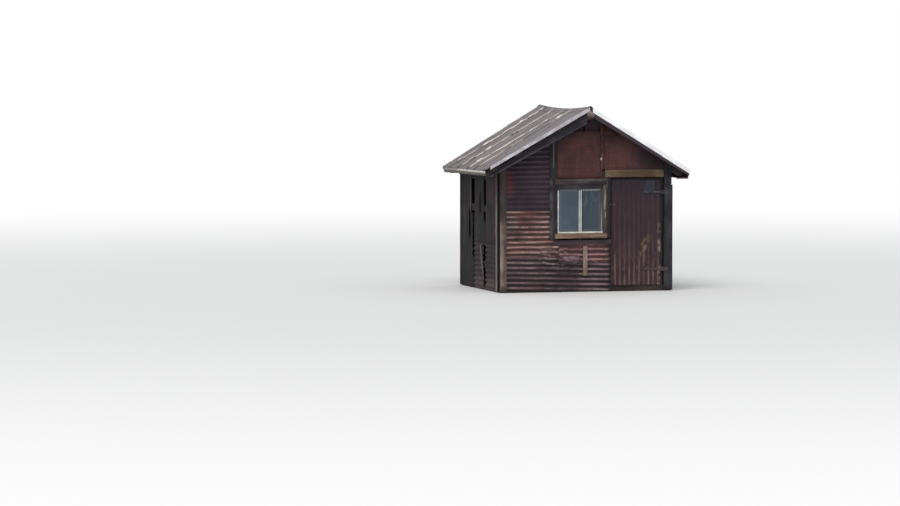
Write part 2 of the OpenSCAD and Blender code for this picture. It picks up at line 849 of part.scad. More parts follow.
// Outlines of the wall panels: distance from the rear end of the frame, and height.
// Their torn edges leave narrow gaps.
panel_outlines = [
  [[0, panel_low], [76, panel_low], [76, panel_top], [0, panel_top]],
  [[88, panel_low], [500, panel_low], [500, 1030], [520, 1040], [542, 1100], [548, panel_top], [88, panel_top]],
  [[512, panel_low], [676, panel_low], [676, 1010], [560, 1034], [512, 1020]],
  [[690, joint_z + 2], [1266, joint_z + 2], [1266, 880], [1166, 960], [1172, panel_top], [716, panel_top],
    [711, 1110], [708, 1040], [692, 900]]
];
panel_hole = [960, 1052, 1045, 1320];

// Panels of the right wall
module side_panels(hole) {
  for (outline = panel_outlines)
    difference() {
      slice_x(frame_x, frame_x + panel_t, [for (p = outline) [frame_rear - seat - p[0], p[1]]]);
      if (hole)
        bar(frame_x - 1, frame_x + panel_t + 1, frame_rear - panel_hole[1], frame_rear - panel_hole[0],
          panel_hole[2], panel_hole[3]);
    }
  slice_x(frame_x, frame_x + panel_t, [[panel_front_y, joint_z + 2], [frame_rear - 1272, joint_z + 2],
    [frame_rear - 1276, 880], [frame_rear - 1290, 1500], [frame_rear - 1290, panel_top], [panel_front_y, panel_top]]);
}

module side_edge_boards() {
  bar(frame_x, wall_x, edge_y, edge_y + edge_board_w, board_low, joint_z - 2);
  bar(frame_x, wall_x, edge_y + 3, edge_y + edge_board_w + 2, joint_z + 2, panel_top);
}

module left_wall_panels() {
  color("dimgray")
    mirror([1, 0, 0]) {
      side_panels(true);
      side_edge_boards();
    }
}

module left_wall_sheets() {
  color("rosybrown")
    mirror([1, 0, 0]) {
      wave_x(frame_rear - 1158, frame_rear - 695, side_rows);
      wave_x(panel_front_y, frame_rear - 1269, side_rows);
    }
}

module right_wall_panels() {
  color("dimgray") {
    side_panels(false);
    side_edge_boards();
  }
}

module right_wall_sheets() {
  color("rosybrown") {
    wave_x(frame_rear - 1158, frame_rear - 695, side_rows);
    wave_x(panel_front_y, frame_rear - 1138, side_rows, lap_gap);
  }
}

module rear_sheets() {
  limit = -sheet_left;
  color("rosybrown") {
    wave_y(-limit, limit, frame_rear, 1, low_rows);
    wave_y(-limit, limit, frame_rear, 1, mid_rows, lap_gap);
    wave_y(-limit, limit, frame_rear, 1, rear_high_rows, 2 * lap_gap);
  }
}

module rear_corner_boards() {
  color("gray")
    both_sides()
      under_rake(wall_x - corner_board_w, wall_x, frame_rear, rear_y, board_low, frame_rear);
}

module rear_gable_panels() {
  low = rear_high_rows[1] * rib_step + board_gap;
  color("brown") {
    under_rake(sheet_left, -2, frame_rear, frame_rear + panel_t, low, frame_rear);
    under_rake(2, -sheet_left, frame_rear, frame_rear + panel_t, low, frame_rear);
  }
}

// Fixed half of a hinge, with the pin
module hinge_plate(z) {
  translate([0, 0, z]) {
    difference() {
      bar(pin_x, pin_x + leaf_w, front_y - strap_t, front_y, -strap_h, strap_h);
      bar(pin_x - 1, pin_x + knuckle_r + 3, front_y - strap_t - 1, front_y + 1,
        -strap_h / 2 - knuckle_gap, strap_h / 2 + knuckle_gap);
    }
    for (z1 = [-strap_h, strap_h / 2 + knuckle_gap]) {
      bar(pin_x, pin_x + 9, pin_y, front_y, z1, z1 + strap_h / 2 - knuckle_gap);
      translate([pin_x, pin_y, z1])
        cylinder(r = knuckle_r, h = strap_h / 2 - knuckle_gap);
    }
    translate([pin_x, pin_y, -strap_h])
      cylinder(r = pin_r, h = 2 * strap_h);
  }
}

module hinge_plates() {
  color("dimgray") {
    hinge_plate(strap_high_z);
    hinge_plate(strap_low_z);
  }
}

// Plate and staple of the latch, at the free edge of the door
module latch_plate() {
  x1 = casing_mid_right - 2;
  color("dimgray") {
    bar(x1 - 24, x1, front_y - 3, front_y, latch_z - 18, latch_z + 18);
    bar(x1 - 16, x1 - 8, front_y - 14, front_y - 3, latch_z - 6, latch_z + 6);
  }
}

module door_frame() {
  x0 = door_left + 6;
  x1 = door_right - 6;
  z0 = door_z + 8;
  z1 = door_top - 2;
  y1 = frame_front + 25;
  rail_z = (z0 + z1 - timber_d) / 2;
  color("tan") {
    bar(x0, x0 + timber_d, frame_front, y1, z0, z1);
    bar(x1 - timber_d, x1, frame_front, y1, z0, z1);
    for (z = [z0, rail_z, z1 - timber_d])
      bar(x0 + timber_d, x1 - timber_d, frame_front, y1, z, z + timber_d);
  }
}

module door_sheet() {
  count = round(door_w / rib_step);
  inside = [for (k = [0:count]) [door_left + k * rib_step, frame_front - seat - rib(k + 4)]];
  outside = [for (p = inside) [p[0], p[1] - sheet_t]];
  color("dimgray")
    translate([0, 0, door_z])
      linear_extrude(door_top - door_z)
        polygon(concat(inside, reversed(outside)));
}

// Moving half of a hinge, bent outwards beside the pin
module door_strap(z) {
  outline = [[door_right - strap_l, strap_face], [door_right - 16, strap_face], [door_right - 8, pin_y + knuckle_r],
    [pin_x, pin_y + knuckle_r], [pin_x, pin_y + knuckle_r - strap_t], [door_right - 9, pin_y + knuckle_r - strap_t],
    [door_right - 17, strap_face - strap_t], [door_right - strap_l, strap_face - strap_t]];
  translate([0, 0, z - strap_h / 2])
    difference() {
      union() {
        linear_extrude(strap_h)
          polygon(outline);
        translate([pin_x, pin_y, 0])
          cylinder(r = knuckle_r, h = strap_h);
      }
      translate([pin_x, pin_y, -1])
        cylinder(r = pin_r + pin_gap, h = strap_h + 2);
    }
}

module door_straps() {
  color("dimgray") {
    door_strap(strap_high_z);
    door_strap(strap_low_z);
  }
}

// Dark plate over a torn place, above the upper strap
module door_patch() {
  color("black")
    bar(door_right - 245, door_right - 86, strap_face - 2, strap_face, strap_high_z + strap_h / 2 + 2,
      door_top - 30);
}

module door_pull() {
  color("dimgray")
    bar(door_left + 14, door_left + 50, strap_face - 4, strap_face, latch_z - 12, latch_z + 12);
}

sills();
floor_joists();
floor_boards();
wall_posts();
side_girts();
wall_studs();
wall_blocking();
top_plates();
tie_beams();
gable_studs();
ridge_pole();
rafters();
barge_rafters();
roof_battens();
roof_sheets_left();
roof_sheets_right();
ridge_cap();
rake_trim_left();
rake_trim_right();
rake_trims_rear();
eave_fascias();
eave_drips();
front_corner_board();
front_post_board();
front_sheet_lower();
front_sheet_middle();
front_sheet_upper();
front_sheet_gable();
front_sheet_below_window();
gable_panel_left();
gable_panel_right();
gable_batten();
gable_scrap();
window_frame();
window_sashes();
window_glass();
window_casings();
window_head_board();
window_sill();
window_apron();
door_header();
door_stops();
wall_batten();
left_wall_panels();
left_wall_sheets();
right_wall_panels();
right_wall_sheets();
rear_sheets();
rear_corner_boards();
rear_gable_panels();
hinge_plates();
latch_plate();
door_frame();
door_sheet();
door_straps();
door_patch();
door_pull();
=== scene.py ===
import math

import bpy
from mathutils import Matrix, Vector


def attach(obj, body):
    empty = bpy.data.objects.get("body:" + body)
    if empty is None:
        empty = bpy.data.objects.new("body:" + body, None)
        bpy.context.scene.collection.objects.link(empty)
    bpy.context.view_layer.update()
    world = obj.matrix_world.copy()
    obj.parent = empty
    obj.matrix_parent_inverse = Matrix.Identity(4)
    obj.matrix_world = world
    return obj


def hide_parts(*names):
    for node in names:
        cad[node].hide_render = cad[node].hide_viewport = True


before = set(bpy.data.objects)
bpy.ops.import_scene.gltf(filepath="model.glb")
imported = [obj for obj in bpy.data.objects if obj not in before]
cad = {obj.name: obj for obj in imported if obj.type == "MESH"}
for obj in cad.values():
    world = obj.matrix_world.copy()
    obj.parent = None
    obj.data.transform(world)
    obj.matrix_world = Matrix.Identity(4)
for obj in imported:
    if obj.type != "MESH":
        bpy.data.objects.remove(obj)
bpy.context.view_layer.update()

# Sills and floor joists
# Sawn softwood beams laid flat on the ground, spiked together at the corners.
# The joists between them are on edge. All of it is grey from damp, with open checks.


def tone(red, green, blue):
    """A colour in display values, as the linear colour that a shader takes."""
    return tuple(((c / 255 + 0.055) / 1.055) ** 2.4 for c in (red, green, blue)) + (1.0,)


class Finish:
    """A procedural material, built up from patterns that lie in object coordinates."""

    def __init__(self, name):
        self.material = bpy.data.materials.new(name)
        self.material.use_nodes = True
        self.tree = self.material.node_tree
        self.shader = self.tree.nodes["Principled BSDF"]
        self.place = self.node("TexCoord", {}, "Object")
        self.x, self.y, self.z = (self.node("SeparateXYZ", {0: self.place}, i) for i in range(3))

    def node(self, kind, inputs, output=0, **settings):
        made = self.tree.nodes.new("ShaderNode" + kind)
        for key, value in settings.items():
            setattr(made, key, value)
        for key, value in inputs.items():
            if isinstance(value, bpy.types.NodeSocket):
                self.tree.links.new(value, made.inputs[key])
            else:
                made.inputs[key].default_value = value
        return made.outputs[output]

    def stretch(self, x, y, z, shift=(0, 0, 0), turn=(0, 0, 0)):
        return self.node("Mapping", {"Vector": self.place, "Scale": (x, y, z), "Location": shift,
                                     "Rotation": turn})

    def noise(self, scale, where=None, detail=4.0, rough=0.55, warp=0.0):
        return self.node("TexNoise", {"Vector": self.place if where is None else where, "Scale": scale,
                                      "Detail": detail, "Roughness": rough, "Distortion": warp})

    def spread(self, value, low, high, start=0.0, end=1.0):
        return self.node("MapRange", {"Value": value, "From Min": low, "From Max": high, "To Min": start,
                                      "To Max": end}, interpolation_type="SMOOTHSTEP")

    def math(self, work, first, second):
        return self.node("Math", {0: first, 1: second}, operation=work)

    def times(self, first, second):
        return self.math("MULTIPLY", first, second)

    def plus(self, first, second):
        return self.math("ADD", first, second)

    def minus(self, first, second):
        return self.math("SUBTRACT", first, second)

    def larger(self, first, second):
        return self.math("MAXIMUM", first, second)

    def absolute(self, value):
        return self.math("ABSOLUTE", value, 0.0)

    def sine(self, value):
        return self.math("SINE", value, 0.0)

    def waver(self, value, noise, depth):
        """A value that wanders with a noise."""
        return self.plus(value, self.times(noise, depth))

    def fade(self, value, low, high):
        """1 below the low end of a range, falling to 0 at its high end."""
        return self.spread(value, low, high, 1.0, 0.0)

    def mix(self, share, under, over):
        return self.node("Mix", {0: share, 6: under, 7: over}, 2, data_type="RGBA")

    def stain(self, colour, share, strength, over):
        """Lays one more tone over a colour, where a share says so and as strongly as given."""
        return self.mix(self.times(share, strength), colour, over)

    def near(self, point, inner, outer):
        """1 within the inner distance of a point, falling to 0 at the outer distance."""
        away = self.node("VectorMath", {0: self.place, 1: point}, "Value", operation="DISTANCE")
        return self.fade(away, inner, outer)

    def band(self, value, middle, half, soft):
        """1 in a band of a value, with soft edges."""
        off = self.absolute(self.minus(value, middle))
        return self.fade(off, half, half + soft)

    def finish(self, colour, rough, height, depth, metal=0.0, gloss=0.5, dulled=None):
        bump = self.node("Bump", {"Height": height, "Distance": depth, "Strength": 1.0})
        for key, value in {"Base Color": colour, "Roughness": rough, "Normal": bump}.items():
            self.tree.links.new(value, self.shader.inputs[key])
        self.shader.inputs["Metallic"].default_value = metal
        self.shader.inputs["Specular IOR Level"].default_value = gloss
        if dulled is not None:
            self.tree.links.new(dulled, self.shader.inputs["Specular IOR Level"])
        return self.material

    def wood(self, colour, fibre, relief, depth, gloss):
        """The finish of old wood: dull, and duller along its fibres."""
        return self.finish(colour, self.spread(fibre, 0, 1, 0.7, 0.95), relief, depth, gloss=gloss)


def grained(f, along, dark, mid, pale, seed=0.0):
    """Colour and relief of sawn wood whose grain runs along one axis."""
    shift = (seed * 3.7, seed * 1.9, seed * 2.3)
    wide, fine = [11.0] * 3, [95.0] * 3
    wide["XYZ".index(along)], fine["XYZ".index(along)] = 0.8, 3.0
    figure = f.noise(1.6, f.stretch(*wide, shift), 6, 0.62, 0.5)
    fibre = f.noise(1.0, f.stretch(*fine, shift), 4, 0.6)
    cloud = f.noise(3.1, f.stretch(1, 1, 1, shift), 3)
    colour = f.mix(f.spread(figure, 0.36, 0.64), dark, mid)
    colour = f.stain(colour, f.spread(cloud, 0.42, 0.7), 0.75, pale)
    check = f.times(f.spread(fibre, 0.60, 0.70), f.spread(cloud, 0.35, 0.6))
    colour = f.stain(colour, f.spread(fibre, 0.42, 0.62), 0.35, dark)
    black = tuple(0.35 * c for c in dark[:3]) + (1.0,)
    colour = f.stain(colour, check, 0.8, black)
    relief = f.minus(f.plus(figure, f.times(fibre, 0.6)), check)
    return colour, relief, fibre


def timber(name, along, dark, mid, pale, seed=0.0):
    f = Finish(name)
    colour, relief, fibre = grained(f, along, dark, mid, pale, seed)
    return f.finish(colour, f.spread(fibre, 0.2, 0.8, 0.72, 0.95), relief, 0.0022, gloss=0.25)


def wear(node, material):
    """A CAD node keeps its shape and takes a material."""
    cad[node].data.materials.clear()
    cad[node].data.materials.append(material)


wear("sills", timber("sill_timber", "X", tone(38, 33, 32), tone(60, 52, 48), tone(84, 74, 66), 1))
wear("floor_joists", timber("joist_timber", "X", tone(60, 50, 42), tone(98, 84, 70), tone(126, 114, 98), 2))

# Floor boards
# Fourteen planed boards, laid from front to rear on the joists and nailed down.
# They take a grained wood finish along their length.
wear("floor_boards", timber("floor_timber", "Y", tone(66, 56, 48), tone(112, 98, 82), tone(140, 128, 110), 3))

# Posts, studs, girts and plates
# The wall frame: sawn posts and studs nailed between the sills and the wall plates, with girts
# across the side walls for the boards. It shows through the doorway and the slits of the walls.
# Painted shade: the frame timbers are darkened so that they read as shade where they show through the gaps,
# and the posts are nearly black as painted shade in the recess at the corners.
shade_darkened_wood = (tone(34, 29, 31), tone(54, 47, 48), tone(74, 64, 62))
black_shade_wood = (tone(12, 9, 11), tone(22, 17, 19), tone(34, 28, 28))
grey_wood = (tone(58, 53, 58), tone(78, 71, 77), tone(96, 89, 93))
for node, along, shades, seed in (
    ("wall_posts", "Z", black_shade_wood, 4), ("gable_studs", "Z", shade_darkened_wood, 6),
    ("side_girts", "Y", shade_darkened_wood, 7), ("top_plates", "Y", shade_darkened_wood, 8),
    ("tie_beams", "X", shade_darkened_wood, 9), ("wall_blocking", "X", grey_wood, 10),
):
    wear(node, timber("frame_" + node, along, *shades, seed))
f = Finish("frame_wall_studs")
door_side = 1.071  # the stud behind the hinges is in shadow from here on
colour, relief, fibre = grained(f, "Z", *shade_darkened_wood, 5)
# Painted shadow: the stud behind the hinges is darkened where the post board shades it.
colour = f.mix(f.spread(f.x, door_side, 1.079, 0.0, 0.9), colour, tone(12, 9, 12))
wear("wall_studs", f.finish(colour, f.spread(fibre, 0.2, 0.8, 0.72, 0.95), relief, 0.0022, gloss=0.25))

# Ridge pole
# A peeled spruce pole that carries the roof and has sagged with it. Its sawn ends stick out
# under the ridge, paler than the rest, with rings and drying cracks.


def edit_mode():
    bpy.ops.object.mode_set(mode="EDIT")


def object_mode():
    bpy.ops.object.mode_set(mode="OBJECT")


def settle():
    """Gives the active piece's place, turn and scale to its mesh."""
    bpy.ops.object.transform_apply(location=True, rotation=True, scale=True)


def new_piece(name, add, scale=None, **settings):
    """A new piece from one of Blender's primitives, with its place and scale in its mesh."""
    bpy.ops.object.select_all(action="DESELECT")
    add(**settings)
    piece = bpy.context.object
    piece.name = name
    if scale:
        piece.scale = scale
    settle()
    return piece


def reshape(node, name):
    """A welded copy of a CAD node, active and ready to be shaped further."""
    bpy.ops.object.select_all(action="DESELECT")
    piece = bpy.data.objects.new(name, cad[node].data.copy())
    bpy.context.scene.collection.objects.link(piece)
    bpy.context.view_layer.objects.active = piece
    piece.select_set(True)
    edit_mode()
    bpy.ops.mesh.select_all(action="SELECT")
    bpy.ops.mesh.remove_doubles(threshold=0.00002)
    bpy.ops.mesh.dissolve_limited(angle_limit=0.004)
    object_mode()
    return piece


def cut_across(piece, axis, step):
    """Cuts the mesh across an axis at even steps, so that it can bend and wear."""
    along = [v.co[axis] for v in piece.data.vertices]
    low, high = min(along), max(along)
    count = max(2, round((high - low) / step))
    normal = [0, 0, 0]
    normal[axis] = 1
    edit_mode()
    for i in range(1, count):
        point = [0, 0, 0]
        point[axis] = low + (high - low) * i / count
        bpy.ops.mesh.select_all(action="SELECT")
        bpy.ops.mesh.bisect(plane_co=point, plane_no=normal)
    object_mode()


def apply(piece, kind, **settings):
    """Adds a modifier to the active piece and applies it."""
    modifier = piece.modifiers.new("shape", kind)
    for key, value in settings.items():
        setattr(modifier, key, value)
    bpy.ops.object.modifier_apply(modifier=modifier.name)


def bevel(piece, width, segments=2, angle=0.9):
    """Rounds the edges that are sharper than an angle."""
    apply(piece, "BEVEL", width=width, segments=segments, limit_method="ANGLE", angle_limit=angle)


def rumple(piece, depth, size, direction="NORMAL", group=""):
    """Bends the surface in and out by a cloud pattern of the given depth and size."""
    clouds = bpy.data.textures.new("clouds", "CLOUDS")
    clouds.noise_scale = size
    clouds.noise_depth = 2
    apply(piece, "DISPLACE", texture=clouds, strength=depth, mid_level=0.5, direction=direction,
          texture_coords="LOCAL", vertex_group=group)


def rest_on(piece, body, slot, material, *replaced, angle=0.6):
    """Gives a finished piece its material, body and the nodes that it stands for; its slot is not used."""
    bpy.ops.object.select_all(action="DESELECT")
    piece.select_set(True)
    bpy.context.view_layer.objects.active = piece
    bpy.ops.object.shade_smooth_by_angle(angle=angle)
    piece.data.materials.clear()
    piece.data.materials.append(material)
    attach(piece, body)
    if replaced:
        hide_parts(*replaced)
    return piece


pole = reshape("ridge_pole", "ridge_log")
bevel(pole, 0.006)
edit_mode()
bpy.ops.mesh.select_all(action="SELECT")
bpy.ops.mesh.subdivide(number_cuts=1, smoothness=0.6)
object_mode()
rumple(pole, 0.006, 0.09)
f = Finish("pole_timber")
pole_centre, pole_end = 2.384, 1.2155
bark, relief, fibre = grained(f, "Y", tone(66, 56, 50), tone(104, 92, 82), tone(138, 128, 118), 11)
middle = f.node("CombineXYZ", {0: f.x, 1: 0.0, 2: f.minus(f.z, pole_centre)})
ring_r = f.node("VectorMath", {0: middle}, "Value", operation="LENGTH")
rings = f.sine(f.times(f.waver(ring_r, f.noise(9), 0.012), 900.0))
wood_end = f.mix(f.spread(rings, -0.6, 0.8), tone(84, 76, 72), tone(122, 114, 110))
wood_end = f.mix(f.spread(f.noise(14), 0.5, 0.66), wood_end, tone(62, 54, 52))
# Painted shade on the lower part of the pole's sawn end, and a painted highlight on its upper right.
light_slope = f.plus(f.plus(f.z, f.times(f.x, 0.35)), f.times(f.noise(16), 0.03))
wood_end = f.mix(f.spread(light_slope, 2.350, 2.400, 0.9, 0.0), wood_end, tone(44, 38, 38))
wood_end = f.mix(f.spread(light_slope, 2.405, 2.440, 0.0, 0.8), wood_end, tone(150, 142, 136))
at_end = f.spread(f.absolute(f.y), pole_end, 1.217)
pole_wood = f.finish(f.mix(at_end, bark, wood_end), f.spread(fibre, 0, 1, 0.7, 0.92), relief, 0.003,
                     gloss=0.25)
rest_on(pole, "hut", "pole_timber", pole_wood, "ridge_pole")

# Rafters and battens
# Five pairs of sawn rafters, notched over the wall plates, and a barge rafter outside each gable.
# Flat battens are nailed across them along the roof, and the sheets are nailed to these.
wear("rafters", timber("rafter_timber", "X", tone(36, 32, 36), tone(58, 52, 56), tone(80, 72, 72), 12))
# The battens are kept dark, so that their ends under the rake trims read as painted shade.
wear("roof_battens", timber("batten_timber", "Y", tone(36, 32, 34), tone(56, 50, 52), tone(78, 70, 70), 13))


def weathered(node, name, axes, edge=0.0025, warp=0.003, step=0.06):
    """An old board made from a CAD node: worn edges, roughened faces and a slight warp."""
    piece = reshape(node, name)
    for axis in axes:
        cut_across(piece, "XYZ".index(axis), step)
    bevel(piece, edge)
    rumple(piece, 0.0016, 0.02)
    rumple(piece, warp, 0.35)
    return piece


def board(node, name, axes, slot, material, *wear_and_warp):
    """A weathered board of the hut, in place of its CAD node."""
    return rest_on(weathered(node, name, axes, *wear_and_warp), "hut", slot, material, node)


roof_rise, rake_top = 0.6047, 2.4881  # slope of the roof, and the height of its edge at the ridge
board_rise, board_middle = 0.5274, 2.2987  # the barge board's own line, with the bent corner
f = Finish("barge_timber")
colour, relief, fibre = grained(f, "X", tone(26, 24, 30), tone(42, 40, 46), tone(66, 62, 64), 14)
blotch = f.spread(f.noise(6, f.stretch(0.6, 1, 1)), 0.42, 0.62)
colour = f.stain(colour, blotch, 0.6, tone(62, 54, 56))
# Painted shade: the top of the left barge board, under the trim, is darkened; a painted highlight runs along
# its lower edge.
drop = f.minus(f.minus(rake_top, f.times(f.absolute(f.x), roof_rise)), f.z)
left_part = f.fade(f.x, -0.02, 0.0)
colour = f.stain(colour, f.spread(drop, 0.068, 0.098, 0.9, 0.0), left_part, tone(20, 18, 23))
rise = f.minus(f.minus(f.z, f.times(f.x, board_rise)), board_middle)
lit = f.times(f.fade(rise, 0.008, 0.022), left_part)
lit = f.times(lit, f.spread(f.noise(5), 0.3, 0.55, 0.15, 0.6))
colour = f.stain(colour, lit, f.spread(f.x, -0.75, -0.25, 1.0, 0.5), tone(92, 88, 92))
colour = f.stain(colour, f.spread(f.x, 0.0, 0.02), 0.7, tone(74, 60, 68))
board("barge_rafters", "barge_boards", "X", "board_dark", f.wood(colour, fibre, relief, 0.002, 0.25))

# Roof sheets
# Four galvanised sheets on each slope, folded to low crimps and lapped over them, nailed to the
# battens. They have sagged with the ridge, are bent where people and snow trod them, and dull.
eave_height, half_width, half_length = 1.6391, 1.404, 1.22
ridge_height, ridge_sag = 2.488, 0.045
bend_start, bend_length, bend_lift = -0.80, 0.42, 0.06
crimps = (  # place of each crimp along the ridge, and its runs of painted highlight: from, to and how strong
    (0.890, ((1.26, 1.00, 0.45), (0.89, 0.70, 0.9), (0.60, 0.40, 0.9), (0.37, 0.25, 0.7), (0.23, 0.12, 0.7))),
    (0.445, ((1.34, 0.96, 0.75), (0.93, 0.66, 0.65), (0.58, 0.33, 0.6), (0.30, 0.06, 0.7))),
    (-0.050, ((1.34, 1.05, 0.95), (1.08, 0.42, 1.0), (0.36, 0.19, 0.55), (0.16, 0.05, 0.6))),
    (-0.375, ((1.30, 0.98, 0.7), (0.96, 0.72, 0.6), (0.28, 0.02, 0.65))),
)
bent_places = (  # along X and Y on the slope: where a crimp is kicked over and shines with a painted highlight
    (0.869, 0.890), (0.569, 0.890), (0.360, 0.890), (0.224, 0.890), (0.063, 0.890), (1.198, 0.445),
    (0.949, 0.445), (0.590, 0.445), (1.229, -0.050), (0.282, -0.050), (0.197, -0.375), (1.244, 0.890),
)


def ridge_at(y):
    return ridge_height - ridge_sag * (1 - (y / half_length) ** 2)


def roof_at(x, y):
    """Height of the flat metal; the front corner of the left slope has bent up."""
    bent = 0.0
    if x < 0:
        bent = bend_lift * -x / half_width * (max(0.0, bend_start - y) / bend_length) ** 2
    return eave_height + (ridge_at(y) - eave_height) * (1 - abs(x) / half_width) + bent


def roof_metal(name, side):
    """Dull zinc: streaks down the slope, painted shade beside the crimps and runs of painted highlight on
    them.
    """
    f = Finish(name)
    slope = f.stretch(1.0, 22.0, 1.0)
    streak = f.noise(1.5, slope, 6, 0.6)
    cloud = f.noise(2.2, detail=5, rough=0.6)
    speck = f.noise(60, detail=3)
    hair = f.noise(1.5, f.stretch(0.7, 60.0, 0.7), 5, 0.6)
    colour = f.mix(f.spread(streak, 0.36, 0.66), tone(94, 86, 87), tone(134, 125, 126))
    colour = f.stain(colour, f.spread(cloud, 0.46, 0.66), 0.6, tone(110, 99, 96))
    colour = f.stain(colour, f.spread(f.noise(4.5, f.stretch(1, 3, 1), 4), 0.56, 0.70), 0.5,
                     tone(150, 142, 142))
    colour = f.stain(colour, f.spread(hair, 0.54, 0.64), 0.65, tone(180, 167, 161))
    colour = f.stain(colour, f.spread(hair, 0.46, 0.38), 0.6, tone(78, 69, 70))
    away = f.absolute(f.x)
    broken = f.spread(f.noise(7, detail=3), 0.36, 0.58, 0.35, 1.0)
    wander = f.plus(f.y, f.times(f.minus(f.noise(2.4), 0.5), 0.05))
    ends = f.plus(away, f.times(f.minus(f.noise(13, detail=5), 0.5), 0.16))
    stain, shine = 0.0, 0.0
    # Painted shade: a dark line on the lower side of each crimp; painted highlight: runs along its top.
    for y, runs in crimps:
        stain = f.larger(stain, f.band(wander, y - 0.042, 0.014, 0.018))
        light = 0.0
        for start, end, strength in runs:
            run = f.band(ends, (start + end) / 2, (start - end) / 2, 0.05)
            light = f.larger(light, f.times(run, strength))
        shine = f.larger(shine, f.times(light, f.band(wander, y + 0.014, 0.029, 0.016)))
    colour = f.stain(colour, f.times(stain, broken), 0.8, tone(62, 53, 54))
    shine = f.times(shine, 1.0 if side < 0 else 0.6)
    colour = f.stain(colour, shine, f.spread(f.noise(11, f.stretch(1, 3, 1), 4), 0.36, 0.54, 0.4, 1.0),
                     tone(222, 210, 201))
    # Painted highlight where a crimp is kicked over.
    bright = 0.0
    for x, y in bent_places:
        bright = f.larger(bright, f.near((-x, y + 0.010, roof_at(-x, y) + 0.01), 0.018, 0.046))
    if side < 0:
        bright = f.times(bright, f.spread(f.noise(26, f.stretch(1, 2.5, 1), 4), 0.34, 0.56, 0.35, 0.9))
        colour = f.mix(bright, colour, tone(232, 225, 217))
    eave = f.spread(away, 1.20, 1.40)
    colour = f.stain(colour, f.times(eave, f.spread(streak, 0.4, 0.6)), 0.35, tone(98, 86, 80))
    colour = f.stain(colour, f.spread(speck, 0.62, 0.72), 0.35, tone(90, 76, 70))
    return f.finish(colour, f.spread(cloud, 0.3, 0.7, 0.48, 0.66), f.plus(streak, speck), 0.0012, 0.25)


def kick(piece, x, y, reach, lift, lean):
    """Bends a crimp over at one place: its crest is pushed along and up, less and less around it."""
    object_mode()
    place = Vector((x, y, roof_at(x, y)))
    for vertex in piece.data.vertices:
        vertex.select = False
    for edge in piece.data.edges:
        edge.select = False
    for face in piece.data.polygons:
        face.select = False
    for reach_part, share in ((reach, 0.4), (reach * 0.55, 0.6)):
        for vertex in piece.data.vertices:
            off = vertex.co - place
            vertex.select = abs(off.x) < reach_part and abs(off.y) < 0.021
        edit_mode()
        bpy.ops.transform.translate(value=(0, lean * share, lift * share))
        object_mode()


def lift_all(piece, height):
    """Lifts a whole piece a little, so that its dents stay clear of what lies under it."""
    edit_mode()
    bpy.ops.mesh.select_all(action="SELECT")
    bpy.ops.transform.translate(value=(0, 0, height))
    object_mode()


for node, side in (("roof_sheets_left", -1), ("roof_sheets_right", 1)):
    piece = reshape(node, node.replace("roof_sheets", "roof_metal"))
    cut_across(piece, 0, 0.030)
    rumple(piece, 0.006, 0.30, "Z")
    rumple(piece, 0.003, 0.09, "Z")
    lift_all(piece, 0.0032)
    for i, (x, y) in enumerate(bent_places):
        kick(piece, side * x, y, 0.045, 0.008 + 0.003 * (i % 3), 0.008 * (-1) ** i)
    rest_on(piece, "hut", "roof_metal", roof_metal("roof_zinc_" + node[12:], side), node, angle=0.5)

# The round-headed nails that hold the sheets, in rows over the battens. They are hammered in
# beside the crimps and are dull and rusty.


def nail_row(name, body, slot, material, head, places, facing):
    """Nail heads: one domed head is modelled and copied to each place, then joined."""
    bpy.ops.object.select_all(action="DESELECT")
    bpy.ops.mesh.primitive_cylinder_add(vertices=8, radius=head, depth=0.003, location=(0, 0, 0.0012))
    first = bpy.context.object
    edit_mode()
    bpy.ops.mesh.select_all(action="DESELECT")
    object_mode()
    for face in first.data.polygons:
        face.select = face.normal.z > 0.9
    edit_mode()
    bpy.ops.mesh.select_mode(type="FACE")
    bpy.ops.mesh.inset(thickness=head * 0.45)
    bpy.ops.transform.translate(value=(0, 0, head * 0.3))
    object_mode()
    turn = Vector(facing).to_track_quat("Z", "Y")
    copies = []
    for place in places:
        copy = first.copy()
        copy.data = first.data.copy()
        copy.rotation_mode = "QUATERNION"
        copy.rotation_quaternion = turn
        copy.location = place
        bpy.context.scene.collection.objects.link(copy)
        copies.append(copy)
    bpy.data.objects.remove(first)
    bpy.ops.object.select_all(action="DESELECT")
    for copy in copies:
        copy.select_set(True)
    bpy.context.view_layer.objects.active = copies[0]
    bpy.ops.object.join()
    settle()
    piece = bpy.context.object
    piece.name = name
    return rest_on(piece, body, slot, material)


nail_head, strap_nail, roof_nail = 0.0055, 0.0045, 0.007
f = Finish("nail_iron")
rusty = f.noise(90)
nail_iron = f.finish(f.mix(f.spread(rusty, 0.4, 0.6), tone(46, 38, 38), tone(74, 62, 58)),
                     f.spread(rusty, 0.3, 0.7, 0.7, 0.9), rusty, 0.0006, 0.0, 0.25)
batten_lines = (0.105, 0.406, 0.709, 1.011, 1.314)
nail_lines = (1.12, 0.96, 0.82, 0.66, 0.51, 0.38, 0.20, 0.05, -0.12, -0.25, -0.42, -0.60, -0.86)
for side, word in ((-1, "left"), (1, "right")):
    places = []
    for i, x in enumerate(batten_lines):
        for j, y in enumerate(nail_lines):
            x1 = side * (x + 0.004 * ((3 * i + 7 * j) % 5 - 2))
            places.append((x1, y, roof_at(x1, y) + 0.0025))
    nail_row("roof_nails_" + word, "hut", "iron", nail_iron, roof_nail, places, (side * 0.535, 0, 0.845))

